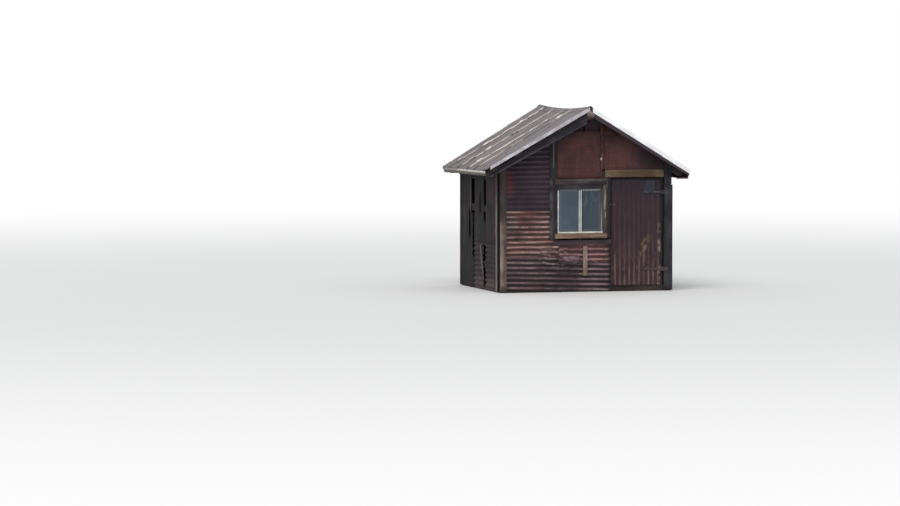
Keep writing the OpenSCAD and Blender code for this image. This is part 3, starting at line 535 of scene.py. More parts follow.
# Ridge cap
# A folded strip of the same metal along the ridge, nailed through both slopes. It follows
# the sag in short bends, and its edges are bent down onto the sheets.
cap = reshape("ridge_cap", "ridge_strip")
cut_across(cap, 1, 0.04)
cut_across(cap, 0, 0.03)
for v in cap.data.vertices:
    v.select = abs(v.co.x) > 0.045
edit_mode()
bpy.ops.mesh.select_mode(type="VERT")
bpy.ops.transform.translate(value=(0, 0, -0.011))
object_mode()
rumple(cap, 0.006, 0.10, "Z")
lift_all(cap, 0.0030)
rest_on(cap, "hut", "ridge_metal", roof_metal("ridge_zinc", 0), "ridge_cap", angle=0.5)

# Rake trims
# Folded metal edges nailed over the ends of the slopes. On the left front they are four dull
# grey lengths that lap, and on the right front two lengths of the same metal, white as a painted reflection
# of the sun.


def trim_metal(name, dull, pale, stain, chips):
    f = Finish(name)
    cloud = f.noise(5, detail=5)
    fine = f.noise(38, detail=4)
    colour = f.mix(f.spread(cloud, 0.36, 0.62), dull, pale)
    colour = f.stain(colour, f.spread(fine, 0.56, 0.68), chips, stain)
    colour = f.mix(f.band(f.x, 0.006, 0.018, 0.006), colour, tone(62, 60, 66))
    low = f.fade(f.minus(f.plus(f.z, f.times(f.absolute(f.x), roof_rise)), rake_top), -0.058, -0.030)
    colour = f.stain(colour, f.times(low, f.spread(f.noise(12), 0.4, 0.6)), 0.45, stain)
    return f.finish(colour, f.spread(fine, 0.3, 0.7, 0.4, 0.6), f.plus(cloud, fine), 0.0012, 0.1)


def trim_length(node, name, start, end, push, material, slot):
    """One length of a rake trim, between two distances from the ridge, pushed out over the next."""
    piece = reshape(node, name)
    side = -1 if node.endswith("left") else 1
    edit_mode()
    for edge, inner in ((start, True), (end, False)):
        bpy.ops.mesh.select_all(action="SELECT")
        bpy.ops.mesh.bisect(plane_co=(side * edge, 0, 0), plane_no=(side, 0, 0), use_fill=True,
                            clear_inner=inner, clear_outer=not inner)
    bpy.ops.mesh.select_all(action="SELECT")
    bpy.ops.transform.translate(value=(0, -push, push * 0.6 + 0.004))
    object_mode()
    cut_across(piece, 0, 0.04)
    rumple(piece, 0.005, 0.16, "Z")
    return rest_on(piece, "hut", slot, material, node, angle=0.5)


grey_trim = trim_metal("trim_dull_zinc", tone(168, 161, 166), tone(206, 202, 206), tone(126, 118, 120), 0.45)
# Painted reflection: the right trims are the same metal as the left, coloured white for the sun's glare on
# them.
glare_white_trim = trim_metal("trim_white_sun_glare", tone(236, 236, 236), tone(255, 255, 255), tone(186, 180, 178),
                        0.25)
for i, (start, end) in enumerate(((0.004, 0.604), (0.600, 0.977), (0.972, 1.245), (1.240, 1.404))):
    trim_length("rake_trim_left", f"left_trim_{i + 1}", start, end, (0.0, 0.0022, 0.0004, 0.003)[i],
                grey_trim, "trim_grey")
for i, (start, end) in enumerate(((0.004, 1.004), (1.000, 1.404))):
    trim_length("rake_trim_right", f"right_trim_{i + 1}", start, end, (0.0022, 0.0)[i], glare_white_trim,
                "trim_white")
rear_trim = reshape("rake_trims_rear", "rear_trims")
cut_across(rear_trim, 0, 0.05)
rumple(rear_trim, 0.004, 0.16, "Z")
lift_all(rear_trim, 0.006)
rest_on(rear_trim, "hut", "trim_grey", grey_trim, "rake_trims_rear", angle=0.5)

# Eave boards
# Boards nailed to the rafter tails, once red-brown, with a thin metal drip edge over them.
# The left one is bleached, with a green shade of algae below the metal.


def eave_finish():
    f = Finish("eave_board_paint")
    colour, relief, fibre = grained(f, "Y", tone(54, 38, 38), tone(80, 58, 54), tone(104, 86, 78), 16)
    faded, _, _ = grained(f, "Y", tone(80, 78, 68), tone(106, 102, 90), tone(126, 121, 108), 17)
    # Painted shade: the inner face of the right eave board, under the roof, is darkened.
    inside = f.times(f.fade(f.x, 1.3715, 1.3735), f.spread(f.z, 1.532, 1.540))
    colour = f.mix(inside, colour, tone(22, 18, 20))
    left = f.fade(f.x, -0.1, 0.1)
    return f.finish(f.mix(left, colour, faded), f.spread(fibre, 0, 1, 0.66, 0.9), relief, 0.002, gloss=0.3)


board("eave_fascias", "eave_boards", "Y", "fascia_timber", eave_finish())
f = Finish("drip_metal")
cloud, fine = f.noise(5, f.stretch(1, 3, 1), 5), f.noise(38, detail=4)
colour = f.mix(f.spread(cloud, 0.38, 0.60), tone(178, 170, 166), tone(255, 246, 236))
below = f.waver(f.z, f.noise(9), 0.010)
colour = f.mix(f.spread(below, 1.613, 1.622, 0.9, 0.0), colour, tone(116, 113, 100))
colour = f.stain(colour, f.spread(fine, 0.58, 0.68), 0.3, tone(120, 112, 104))
colour = f.mix(f.spread(f.waver(f.y, f.noise(4), 0.2), 0.52, 0.68, 0.0, 0.75), colour, tone(112, 107, 100))
drip_metal = f.finish(colour, f.spread(fine, 0.3, 0.7, 0.4, 0.6), f.plus(cloud, fine), 0.0012, 0.1)
drip = reshape("eave_drips", "drip_edges")
cut_across(drip, 1, 0.05)
rumple(drip, 0.003, 0.14, "Z")
rest_on(drip, "hut", "trim_grey", drip_metal, "eave_drips")

# Corner boards
# Upright boards that cover the cut ends of the sheets, nailed to the corner posts. The left
# one is in two lengths, silver-grey below, and the right one is nearly black.


def board_finish(name, along, dark, mid, pale, seed, top=None, shaded=None, side=None, foot=0.0):
    """Finish of an old board; top is a level with a darker colour above, shaded the place along X from
    which its edge is darkened as painted shade, side the place of its own side face, painted black as shade,
    and foot the top of its dark lower edge."""
    f = Finish(name)
    colour, relief, fibre = grained(f, along, dark, mid, pale, seed)
    if shaded:
        edge = f.waver(f.x, f.noise(4, f.stretch(1, 1, 1)), 0.03)
        colour = f.mix(f.spread(edge, shaded, shaded + 0.035, 0.0, 0.6), colour, dark)
    if top:
        level, shade = top
        ragged = f.waver(f.z, f.noise(5, f.stretch(9, 9, 1)), 0.4)
        colour = f.stain(colour, f.spread(ragged, level, level + 0.35), 0.8, shade)
    # Painted shade: the board's side face is painted nearly black.
    if side:
        colour = f.mix(f.spread(f.x, side - 0.001, side + 0.002, 0.95, 0.0), colour, tone(16, 12, 15))
    if foot:
        colour = f.mix(f.spread(f.z, foot, foot + 0.008, 0.9, 0.0), colour, tone(20, 13, 11))
    damp = f.waver(f.z, f.noise(7), 0.16)
    colour = f.mix(f.spread(damp, 0.10, 0.22, 0.55, 0.0), colour, tone(34, 30, 28))
    return f.wood(colour, fibre, relief, 0.0026, 0.22)


def pull_edge(piece, axis, limit, amount):
    """Pulls the edge of an upright board in: all that lies below a place along an axis moves."""
    for v in piece.data.vertices:
        v.select = v.co[axis] < limit
    edit_mode()
    bpy.ops.mesh.select_mode(type="VERT")
    bpy.ops.transform.translate(value=(amount, 0, 0) if axis == 0 else (0, amount, 0))
    object_mode()
    return piece


corner = pull_edge(weathered("front_corner_board", "left_corner_board", "Z"), 0, -1.205, 0.008)
corner_wood = board_finish("corner_board_wood", "Z", tone(72, 60, 58), tone(130, 112, 106),
                           tone(162, 144, 132), 18, (1.02, tone(50, 43, 47)), -1.166, -1.2095)
rest_on(corner, "hut", "board_grey", corner_wood, "front_corner_board")
board("front_post_board", "right_corner_board", "Z", "board_dark",
      board_finish("post_board_wood", "Z", tone(30, 29, 34), tone(50, 49, 54), tone(70, 68, 70), 19))
board("rear_corner_boards", "rear_corners", "Z", "board_grey",
      board_finish("rear_corner_wood", "Z", tone(50, 45, 46), tone(82, 74, 74), tone(108, 100, 98), 20))

# Front sheets
# Corrugated iron nailed across the left of the front wall, three sheets up from the ground and
# one in the gable. The upper two are nearly black purple, the lower ones rust, cream and pink.
rib, lap = 0.0678, 0.0019  # pitch of the ribs, and how far a lapped sheet stands out
front_face = -1.0185  # where the crests of the front sheets lie


def iron_sheet(name, level, slant, ribs, valley, face, pale, rust, pale_share, paint=None, axis="Z",
               shade=0.6):
    """Old corrugated iron: upper sides of the ribs paler, partly bleached and partly painted highlight, lower
    sides darkened as painted shade, with rust runs.

    level is where a rib crest lies, slant how much it drops per metre, ribs the rib pitch."""
    f = Finish(name)
    flat = f.node("UVMap", {}, uv_map="flat")
    f.flat_x, f.flat_z = (f.node("SeparateXYZ", {0: flat}, i) for i in range(2))
    across = {"Z": f.flat_z, "X": f.flat_x}[axis]
    if slant:
        across = f.plus(across, f.times(f.flat_x, slant))
    phase = f.times(f.minus(across, level), 2 * math.pi / ribs)
    wave = f.sine(phase)
    run = f.stretch(1.3, 1.3, 11.0) if axis == "Z" else f.stretch(11.0, 11.0, 1.1)
    streak = f.noise(2.6, run, 6, 0.62)
    cloud = f.noise(3.4, detail=6, rough=0.62)
    fine = f.noise(42, detail=5, rough=0.65)
    colour = f.mix(f.spread(cloud, 0.36, 0.64), valley, face)
    colour = f.stain(colour, f.spread(streak, 0.5, 0.68), 0.7, rust)
    patchy = f.spread(f.noise(2.3, detail=6, rough=0.66), 0.38, 0.60, 0.15, 1.0)
    # The upper sides of the ribs are paler, partly bleached and partly painted highlight; below, their lower
    # sides take painted shade.
    up = f.times(f.spread(wave, 0.15, 0.9), f.spread(streak, 0.36, 0.60, 0.15, 1.0))
    colour = f.stain(colour, f.times(up, pale_share), patchy, pale)
    under = f.fade(wave, -0.8, 0.3)
    dark = tuple(0.42 * c for c in valley[:3]) + (1.0,)
    colour = f.stain(colour, under, shade, dark)
    colour = f.stain(colour, f.spread(fine, 0.58, 0.7), 0.4, rust)
    if paint:
        colour = paint(f, colour, cloud)
    return f.finish(colour, f.spread(fine, 0.3, 0.7, 0.62, 0.88), f.plus(fine, cloud), 0.0014, 0.0, 0.3)


def red_patch(f, colour, cloud):
    """A worn patch of red paint near the corner board, under the eave."""
    off = f.node("VectorMath", {0: f.stretch(1.0, 0.0, 0.55), 1: (-1.088, 0.0, 0.80)}, "Value",
                 operation="DISTANCE")
    patch = f.times(f.fade(off, 0.01, 0.125), f.spread(cloud, 0.34, 0.52, 0.35, 1.0))
    return f.stain(colour, patch, 0.7, tone(100, 38, 46))


def creased(f, colour, lines):
    """Sharp folds of a crumpled sheet: each a painted highlight along its edge with painted shade below it.
    """
    wobble = f.times(f.minus(f.noise(9, detail=5, rough=0.7), 0.5), 0.09)
    fold_breaks = f.spread(f.noise(23, detail=4), 0.38, 0.6, 0.1, 1.0)
    for x0, z0, x1, z1, strength in lines:
        rise = (z1 - z0) / (x1 - x0)
        off = f.minus(f.minus(f.z, z0 - rise * x0), f.times(f.x, rise))
        off = f.plus(off, wobble)
        along = f.times(f.band(f.x, (x0 + x1) / 2, abs(x1 - x0) / 2, 0.05), fold_breaks)
        # Painted shade below each fold, and a painted highlight on its edge.
        below = f.times(f.band(off, -0.030, 0.008, 0.016), f.times(along, 0.8 * strength))
        colour = f.mix(below, colour, tone(38, 27, 33))
        ridge = f.times(f.band(off, 0.0, 0.004, 0.016), f.times(along, 0.75 * strength))
        colour = f.mix(ridge, colour, tone(158, 136, 138))
    return colour


def dark_end(f, colour):
    """The ends of the sheets beside the door are darkened nearly to black."""
    return f.stain(colour, f.spread(f.x, 0.285, 0.335), 0.85, tone(30, 23, 28))


def lower_folds(f, colour, cloud):
    return creased(f, dark_end(f, colour),
                   ((-0.60, 0.399, -0.345, 0.373, 0.5), (-0.655, 0.446, -0.472, 0.465, 0.6),
                    (-0.46, 0.335, -0.30, 0.310, 0.45)))


def middle_folds(f, colour, cloud):
    colour = creased(f, colour, ((-0.782, 0.549, -0.528, 0.499, 0.8), (-0.66, 0.590, -0.46, 0.575, 0.5)))
    return pale_corner(f, colour, cloud)


def below_folds(f, colour, cloud):
    mud = f.times(f.fade(f.x, -0.10, 0.02), f.fade(f.z, 0.46, 0.52))
    colour = f.stain(colour, mud, 0.6, tone(62, 46, 54))
    # A pale patch on the crumple.
    pale_patch = f.times(f.times(f.band(f.x, -0.205, 0.06, 0.07), f.band(f.z, 0.450, 0.018, 0.035)),
                     f.spread(f.noise(19, f.stretch(1, 1, 1.6), 4), 0.36, 0.60, 0.2, 0.75))
    colour = f.mix(pale_patch, colour, tone(140, 114, 122))
    return creased(f, dark_end(f, colour),
                   ((-0.401, 0.572, -0.331, 0.486, 0.5), (-0.345, 0.478, -0.160, 0.402, 0.35),
                    (-0.330, 0.500, -0.255, 0.425, 0.35), (-0.386, 0.600, -0.300, 0.545, 0.45),
                    (0.075, 0.440, 0.145, 0.400, 0.4)))


def pale_corner(f, colour, cloud):
    """The top ribs beside the corner board are cream on their crests, partly bleached and partly painted
    highlight; lower down, a grey patch has painted highlights on its crests and painted shade in its valleys.
    """
    corner = f.times(f.fade(f.x, -0.98, -0.84), f.spread(f.z, 1.06, 1.10))
    crest = f.spread(f.sine(f.times(f.plus(f.flat_z, 0.019), 2 * math.pi / rib)), 0.1, 0.8)
    cream = f.times(f.times(corner, crest), 0.85)
    colour = f.mix(cream, colour, tone(204, 190, 172))
    red = f.times(f.spread(f.noise(2.6, f.stretch(1, 1, 2)), 0.5, 0.64), 0.35)
    colour = f.mix(red, colour, tone(118, 70, 62))
    # A grey patch whose crests take a painted highlight and whose valleys take painted shade.
    grey_ribs_lit_and_shaded = f.times(f.fade(f.waver(f.x, f.noise(6), 0.12), -0.98, -0.90), f.band(f.z, 0.955, 0.085, 0.03))
    grey_ribs_lit_and_shaded = f.times(grey_ribs_lit_and_shaded, f.spread(f.noise(9, f.stretch(1, 1, 2)), 0.30, 0.50, 0.35, 0.9))
    return f.mix(grey_ribs_lit_and_shaded, colour, f.mix(crest, tone(50, 41, 42), tone(132, 119, 116)))


def keep_flat(piece, first=0):
    """Keeps the place of every point as a UV map, before the sheet is bent."""
    flat = piece.data.uv_layers.new(name="flat")
    for loop in piece.data.loops:
        place = piece.data.vertices[loop.vertex_index].co
        flat.data[loop.index].uv = (place[first], place.z)


def sheet_piece(node, name, slot, material, depth=0.003, crumples=()):
    """A sheet that buckled between its nails: long waves, and deep dents where it was hit."""
    piece = reshape(node, name)
    cut_across(piece, 0, 0.03)
    keep_flat(piece)
    rumple(piece, depth, 0.28, "Y")
    rumple(piece, 0.009, 0.20, "Z")
    for x0, x1, z0, z1, deep, size in crumples:
        group = piece.vertex_groups.new(name="dent")
        for v in piece.data.vertices:
            edge = min(v.co.x - x0, x1 - v.co.x, v.co.z - z0, z1 - v.co.z)
            if edge > 0:
                group.add([v.index], min(1.0, edge / 0.05), "REPLACE")
        rumple(piece, deep, size, "Y", "dent")
        rumple(piece, deep * 2.2, size * 1.6, "Z", "dent")
        piece.vertex_groups.clear()
    return rest_on(piece, "hut", slot, material, node, angle=0.7)


rust_lower = iron_sheet("iron_lower", -0.0494, 0.0279, rib, tone(48, 36, 41), tone(80, 62, 67),
                        tone(150, 130, 134), tone(84, 56, 54), 0.85, lower_folds, shade=0.85)
rust_middle = iron_sheet("iron_middle", -0.019, 0, rib, tone(66, 44, 46), tone(112, 80, 78),
                         tone(192, 164, 158), tone(116, 68, 58), 0.9, middle_folds, shade=0.8)
dark_upper = iron_sheet("iron_upper", -0.022, 0, rib, tone(42, 33, 41), tone(60, 47, 57), tone(92, 76, 84),
                        tone(66, 44, 46), 0.34, red_patch)
sheet_piece("front_sheet_lower", "iron_front_lower", "sheet_rust", rust_lower, 0.004,
            ((-0.66, -0.08, 0.26, 0.50, 0.016, 0.07),))
sheet_piece("front_sheet_middle", "iron_front_middle", "sheet_rust", rust_middle, 0.003,
            ((-0.80, -0.39, 0.47, 0.63, 0.014, 0.07),))
sheet_piece("front_sheet_upper", "iron_front_upper", "sheet_dark", dark_upper)
sheet_piece("front_sheet_gable", "iron_front_gable", "sheet_dark", dark_upper)
rust_below = iron_sheet("iron_below_window", -0.055, 0, rib, tone(68, 44, 49), tone(118, 76, 80),
                        tone(192, 148, 150), tone(122, 66, 62), 0.7, below_folds, shade=0.75)
sheet_piece("front_sheet_below_window", "iron_front_crumpled", "sheet_rust", rust_below, 0.004,
            ((-0.40, 0.06, 0.38, 0.62, 0.022, 0.06),))
places = []
for x in (-1.095, -0.86, -0.535):
    for i in range(1, 26):
        z = rib * i
        if z < 1.82 and (i * 5 + round(x * 10)) % 3 != 1:
            places.append((x + 0.006 * (i % 3 - 1), front_face - (lap if z > 1.12 else 0), z))
for x in (-0.25, 0.0, 0.25):
    places += [(x, front_face, z) for z in (0.2034 - 0.028, 0.3390 - 0.031, 0.4446, 0.5802)]
nail_row("front_sheet_nails", "hut", "iron", nail_iron, nail_head, places, (0, -1, 0))

# Gable panels
# Two thin panels with worn red-brown paint close the gable, with a torn strip over their seam.
# Above them lie a rust-stained board under the right slope and, behind the opening, a dark board as painted
# shade.


def panel_paint(name, dark, mid, pale, seed):
    """Worn paint: upright runs, scuffs across, painted shade under the roof, and darker towards the top and
    towards the door.
    """
    f = Finish(name)
    shift = (seed, seed * 2, seed * 3)
    run = f.noise(2.4, f.stretch(5, 5, 0.8, shift), 6, 0.6)
    cross = f.noise(2.0, f.stretch(0.9, 1, 9, shift), 5, 0.6, 0.6)
    cloud = f.noise(3.2, f.stretch(1, 1, 1, shift), 5, 0.6)
    fine = f.noise(55, detail=5)
    colour = f.mix(f.spread(cloud, 0.36, 0.62), dark, mid)
    colour = f.stain(colour, f.spread(run, 0.5, 0.68), 0.35, pale)
    colour = f.stain(colour, f.spread(cross, 0.52, 0.70), 0.35, pale)
    colour = f.stain(colour, f.spread(cross, 0.46, 0.34), 0.35, tone(50, 29, 34))
    # Painted shade under the roof's edge.
    line = f.plus(f.z, f.times(f.absolute(f.x), roof_rise))
    colour = f.mix(f.spread(line, 2.10, 2.30, 0.0, 0.8), colour, tone(40, 27, 34))
    low_right = f.times(f.spread(f.x, 0.45, 1.05), 0.7)
    colour = f.mix(low_right, colour, tone(38, 25, 29))
    colour = f.stain(colour, f.near((0.55, -1.02, 1.93), 0.05, 0.32), 0.5, tone(100, 60, 58))
    colour = f.stain(colour, f.spread(f.z, 1.95, 2.16), 0.35, tone(52, 34, 40))
    colour = f.stain(colour, f.spread(fine, 0.60, 0.70), 0.35, tone(42, 28, 31))
    return f.finish(colour, f.spread(fine, 0.3, 0.7, 0.6, 0.85), f.plus(f.noise(9), fine), 0.0012, gloss=0.35)


def scrap_finish(name):
    """Wood stained by rust: tan at the end by the strip, dull red along the barge board."""
    f = Finish(name)
    colour, relief, fibre = grained(f, "X", tone(38, 23, 25), tone(58, 34, 33), tone(76, 46, 41), 24)
    stain = f.waver(f.x, f.noise(8), 0.06)
    colour = f.stain(colour, f.spread(stain, 0.27, 0.22), 0.7, tone(88, 66, 48))
    return f.wood(colour, fibre, relief, 0.002, 0.2)


for node, name, seed in (("gable_panel_left", "left_gable_panel", 1.3),
                         ("gable_panel_right", "right_gable_panel", 2.9)):
    paint = panel_paint("paint_" + name, tone(60, 32, 35), tone(80, 43, 44), tone(100, 55, 50), seed)
    board(node, name, "XZ", "panel_red", paint, 0.0015, 0.005, 0.09)
f = Finish("seam_strip_wood")
colour, relief, fibre = grained(f, "Z", tone(48, 32, 32), tone(70, 46, 44), tone(96, 66, 60), 23)
wavy = f.waver(f.x, f.noise(5, f.stretch(0, 0, 1)), 0.024)
torn = f.times(f.band(wavy, 0.232, 0.003, 0.005), f.spread(f.noise(7, f.stretch(1, 1, 1.6)), 0.42, 0.55))
colour = f.stain(colour, torn, 0.7, tone(120, 96, 82))
colour = f.mix(f.near((0.203, -1.022, 1.789), 0.008, 0.022), colour, tone(190, 176, 170))
board("gable_batten", "seam_strip", "Z", "board_dark", f.wood(colour, fibre, relief, 0.002, 0.25), 0.002,
      0.006)
board("gable_scrap", "rust_stained_board", "X", "scrap_brown", scrap_finish("scrap_board_wood"), 0.002, 0.006)

# The opening under the ridge is closed by an old board behind the panels, dark as painted shade for the
# inside of the roof.
backing = new_piece("gable_backing", bpy.ops.mesh.primitive_grid_add, (0.70, 0.20, 1), x_subdivisions=16,
                    y_subdivisions=12, size=1, location=(0, -0.943, 2.225), rotation=(math.pi / 2, 0, 0))
for v in backing.data.vertices:
    v.co.x *= 1 - 3.4 * (v.co.z - 2.125)
rumple(backing, 0.003, 0.20, "Y")
apply(backing, "SOLIDIFY", thickness=0.006, offset=0)
bevel(backing, 0.0015, 1)
rest_on(backing, "hut", "board_dark",
        timber("backing_wood", "X", tone(60, 44, 54), tone(84, 62, 75), tone(104, 80, 92), 42))

# Window
# A sliding window of light metal: an outer frame with tracks, a front sash on the left and a
# rear one on the right, meeting in the middle. The metal is dull, the panes are dusty.
f = Finish("window_metal_dull")
cloud, fine = f.noise(9, detail=5), f.noise(120, detail=3)
colour = f.mix(f.spread(cloud, 0.38, 0.62), tone(206, 206, 204), tone(236, 234, 228))
colour = f.stain(colour, f.spread(fine, 0.55, 0.7), 0.35, tone(130, 124, 118))
colour = f.mix(f.spread(f.z, 0.793, 0.797, 0.7, 0.0), colour, tone(150, 122, 96))
upright = f.spread(f.z, 0.813, 0.817)
colour = f.stain(colour, upright, f.band(f.x, -0.384, 0.004, 0.002), tone(98, 102, 106))
colour = f.mix(f.times(upright, f.fade(f.x, -0.1050, -0.1040)), colour,
               f.mix(f.spread(f.x, -0.13, -0.12), colour, tone(92, 98, 106)))
right_end = f.times(upright, f.spread(f.x, 0.2010, 0.2030))
colour = f.mix(right_end, colour, tone(72, 74, 80))
fading = f.times(f.spread(f.z, 0.95, 1.25, 0.8, 0.15), upright)
colour = f.stain(colour, f.band(f.x, 0.2155, 0.004, 0.002), fading, tone(190, 188, 184))
colour = f.stain(colour, upright, f.band(f.x, -0.0885, 0.004, 0.002), tone(56, 60, 66))
# Painted shade: the top of the frame under the head board is darkened, more over the left sash.
colour = f.mix(f.spread(f.z, 1.378, 1.381, 0.0, 0.9), colour, tone(52, 50, 54))
left_part = f.spread(f.x, -0.12, -0.09, 1.0, 0.45)
colour = f.stain(colour, f.spread(f.z, 1.360, 1.368, 0.0, 0.85), left_part, tone(58, 62, 70))
metal = f.finish(colour, f.spread(cloud, 0.3, 0.7, 0.36, 0.55), fine, 0.0004, 0.3)
window = {"x0": -0.404, "x1": 0.229, "z0": 0.787, "z1": 1.390}


def moulded(node, name, width=0.003):
    piece = reshape(node, name)
    bevel(piece, width, 3)
    return rest_on(piece, "hut", "window_metal", metal, node)


def ring_piece(name, x0, x1, y0, y1, z0, z1, width, slot, material, body="hut", edge=0.0012):
    """A rectangular ring on the wall, such as a bead or a gasket, from a plane inset and drawn out."""
    piece = new_piece(name, bpy.ops.mesh.primitive_plane_add, (x1 - x0, z1 - z0, 1), size=1,
                      location=((x0 + x1) / 2, y1, (z0 + z1) / 2), rotation=(math.pi / 2, 0, 0))
    edit_mode()
    bpy.ops.mesh.select_all(action="SELECT")
    bpy.ops.mesh.inset(thickness=width)
    bpy.ops.mesh.delete(type="FACE")
    bpy.ops.mesh.select_all(action="SELECT")
    bpy.ops.mesh.extrude_region_move(TRANSFORM_OT_translate={"value": (0, y0 - y1, 0)})
    bpy.ops.mesh.select_all(action="SELECT")
    bpy.ops.mesh.normals_make_consistent(inside=False)
    object_mode()
    bevel(piece, edge)
    return rest_on(piece, body, slot, material)


moulded("window_frame", "window_outer_frame")
moulded("window_sashes", "window_sliding_sashes", 0.004)
f = Finish("window_gasket")
grit = f.noise(150)
rubber = f.finish(f.mix(f.spread(grit, 0.4, 0.6), tone(44, 44, 46), tone(74, 74, 76)),
                  f.spread(grit, 0, 1, 0.5, 0.8), grit, 0.0004)
for name, x0, x1, y in (("front_gasket", -0.3797, -0.0815, -1.0110),
                        ("rear_gasket", -0.0935, 0.2047, -0.9925)):
    ring_piece(name, x0 - 0.0005, x1 + 0.0005, y, y + 0.0036, 0.8108, 1.3662, 0.003, "window_metal", rubber)
ring_piece("outer_fin", window["x0"] + 0.002, window["x1"] - 0.002, -1.0240, -1.0215, window["z0"] + 0.002,
           window["z1"] - 0.002, 0.004, "window_metal", metal, edge=0.0008)


def pressed_strip(name, place, size, push, edge):
    """A small folded strip of metal: the front face of a block is inset and pushed in or out."""
    piece = new_piece(name, bpy.ops.mesh.primitive_cube_add, size=1, location=place, scale=size)
    for face in piece.data.polygons:
        face.select = face.normal.y < -0.9
    edit_mode()
    bpy.ops.mesh.select_mode(type="FACE")
    bpy.ops.mesh.inset(thickness=0.003)
    bpy.ops.transform.translate(value=(0, push, 0))
    object_mode()
    bevel(piece, edge, 2, 0.7)
    rest_on(piece, "hut", "window_metal", metal)


# The stile of the rear sash, seen beside that of the front sash, and the pull of the front sash, a
# small ear on the meeting stile.
pressed_strip("rear_stile", (-0.1005, -1.0088, 1.0885), (0.013, 0.0032, 0.553), 0.0015, 0.0005)
pressed_strip("sash_pull", (-0.0745, -1.0160, 1.085), (0.010, 0.006, 0.052), 0.003, 0.0015)

f = Finish("window_pane_dust_and_reflection")
dust = f.noise(2.4, f.stretch(1, 1, 0.7), 6, 0.6)
spots = f.noise(85, detail=2)
edge_x = f.larger(f.band(f.x, -0.380, 0.0, 0.04), f.band(f.x, 0.205, 0.0, 0.04))
edge_z = f.larger(f.band(f.z, 0.811, 0.0, 0.05), f.band(f.z, 1.366, 0.0, 0.03))
grime = f.larger(f.times(f.larger(edge_x, edge_z), 0.5), f.times(f.spread(spots, 0.66, 0.72), 0.3))
# Painted reflection: the panes' blue-grey stands in for the sky reflected in them; the right pane is darker.
shade = f.mix(f.spread(dust, 0.36, 0.64), tone(58, 70, 82), tone(80, 91, 103))
# A painted reflection of branches on the right pane.
slanted = f.noise(2.6, f.stretch(9, 1, 2.2, turn=(0, 0.62, 0)), 5, 0.6, 0.8)
branch_reflection = f.times(f.spread(slanted, 0.54, 0.62), f.spread(f.z, 1.02, 1.28))
right_pane = f.spread(f.x, -0.088, -0.086)
shade = f.stain(shade, right_pane, 0.75, tone(37, 49, 60))
shade = f.stain(shade, f.times(branch_reflection, right_pane), 0.5, tone(92, 102, 108))
shade = f.mix(grime, shade, tone(92, 98, 100))
pane = f.finish(shade, f.spread(dust, 0.3, 0.7, 0.10, 0.22), dust, 0.0008, 0.0, 0.45)
wear("window_glass", pane)

# Window boards
# Rough boards nailed round the window: dark casings left and right, a short grey board over it,
# an olive-brown sill and a flat dark apron. A pale splinter has come off the right casing.
board_face = -1.0225
dark_board = (tone(33, 30, 35), tone(51, 47, 52), tone(72, 66, 69))
f = Finish("casing_wood")
colour, relief, fibre = grained(f, "Z", *dark_board, 26)
pale_side = f.times(f.band(f.x, -0.462, 0.006, 0.006), f.spread(f.z, 1.66, 1.69))
low_left = f.times(f.band(f.x, -0.500, 0.018, 0.012), f.fade(f.z, 1.49, 1.53))
low_left = f.times(low_left, f.spread(f.noise(6, f.stretch(3, 3, 1)), 0.36, 0.56))
colour = f.stain(colour, low_left, 0.5, tone(96, 90, 90))
colour = f.stain(colour, pale_side, 0.7, tone(104, 98, 98))
ragged = f.waver(f.x, f.noise(3.2, f.stretch(3, 3, 1), 5), 0.07)
torn = f.times(f.spread(f.x, 0.2, 0.23), f.fade(ragged, 0.325, 0.345))
torn = f.times(torn, f.spread(f.noise(5, f.stretch(7, 7, 1), 5), 0.36, 0.56, 0.35, 1.0))
colour = f.stain(colour, torn, f.spread(f.z, 0.80, 1.05, 0.35, 0.75), tone(102, 93, 85))
outer_half = f.waver(f.x, f.noise(5, f.stretch(3, 3, 1), 5), 0.05)
outer_half = f.times(f.spread(outer_half, 0.298, 0.312), f.spread(f.z, 1.36, 1.42, 0.8, 0.3))
colour = f.mix(outer_half, colour, tone(44, 40, 40))
colour = f.mix(f.spread(f.x, 0.325, 0.340), colour, tone(24, 21, 26))
board("window_casings", "window_casing_boards", "Z", "board_dark",
      f.wood(colour, fibre, relief, 0.0026, 0.22))


def splinter(name, body, slot, material, start, end, width, thick, bow, turn=0.0):
    """A torn strip of wood from a plane: drawn out, tapered at its ends and bowed off the board."""
    length = (Vector(end) - Vector(start)).length
    bpy.ops.object.select_all(action="DESELECT")
    bpy.ops.mesh.primitive_grid_add(x_subdivisions=2, y_subdivisions=14, size=1)
    piece = bpy.context.object
    piece.name = name
    piece.scale = (width, length, 1)
    bpy.ops.object.transform_apply(location=False, rotation=False, scale=True)
    for v in piece.data.vertices:
        share = (v.co.y / length + 0.5)
        v.co.x *= 0.25 + 0.75 * math.sin(math.pi * min(1.0, 0.12 + share)) ** 0.5
        v.co.z = bow * math.sin(math.pi * share) + 0.0012 * math.sin(9 * share + 2)
    apply(piece, "SOLIDIFY", thickness=thick, offset=0)
    bevel(piece, thick * 0.25, 1)
    piece.rotation_mode = "QUATERNION"
    direction = (Vector(end) - Vector(start)).normalized()
    out = Vector((math.sin(turn), -math.cos(turn), 0))
    sideways = direction.cross(out).normalized()
    piece.rotation_quaternion = Matrix((sideways, direction, out)).transposed().to_quaternion()
    piece.location = (Vector(start) + Vector(end)) / 2
    settle()
    return rest_on(piece, body, slot, material)


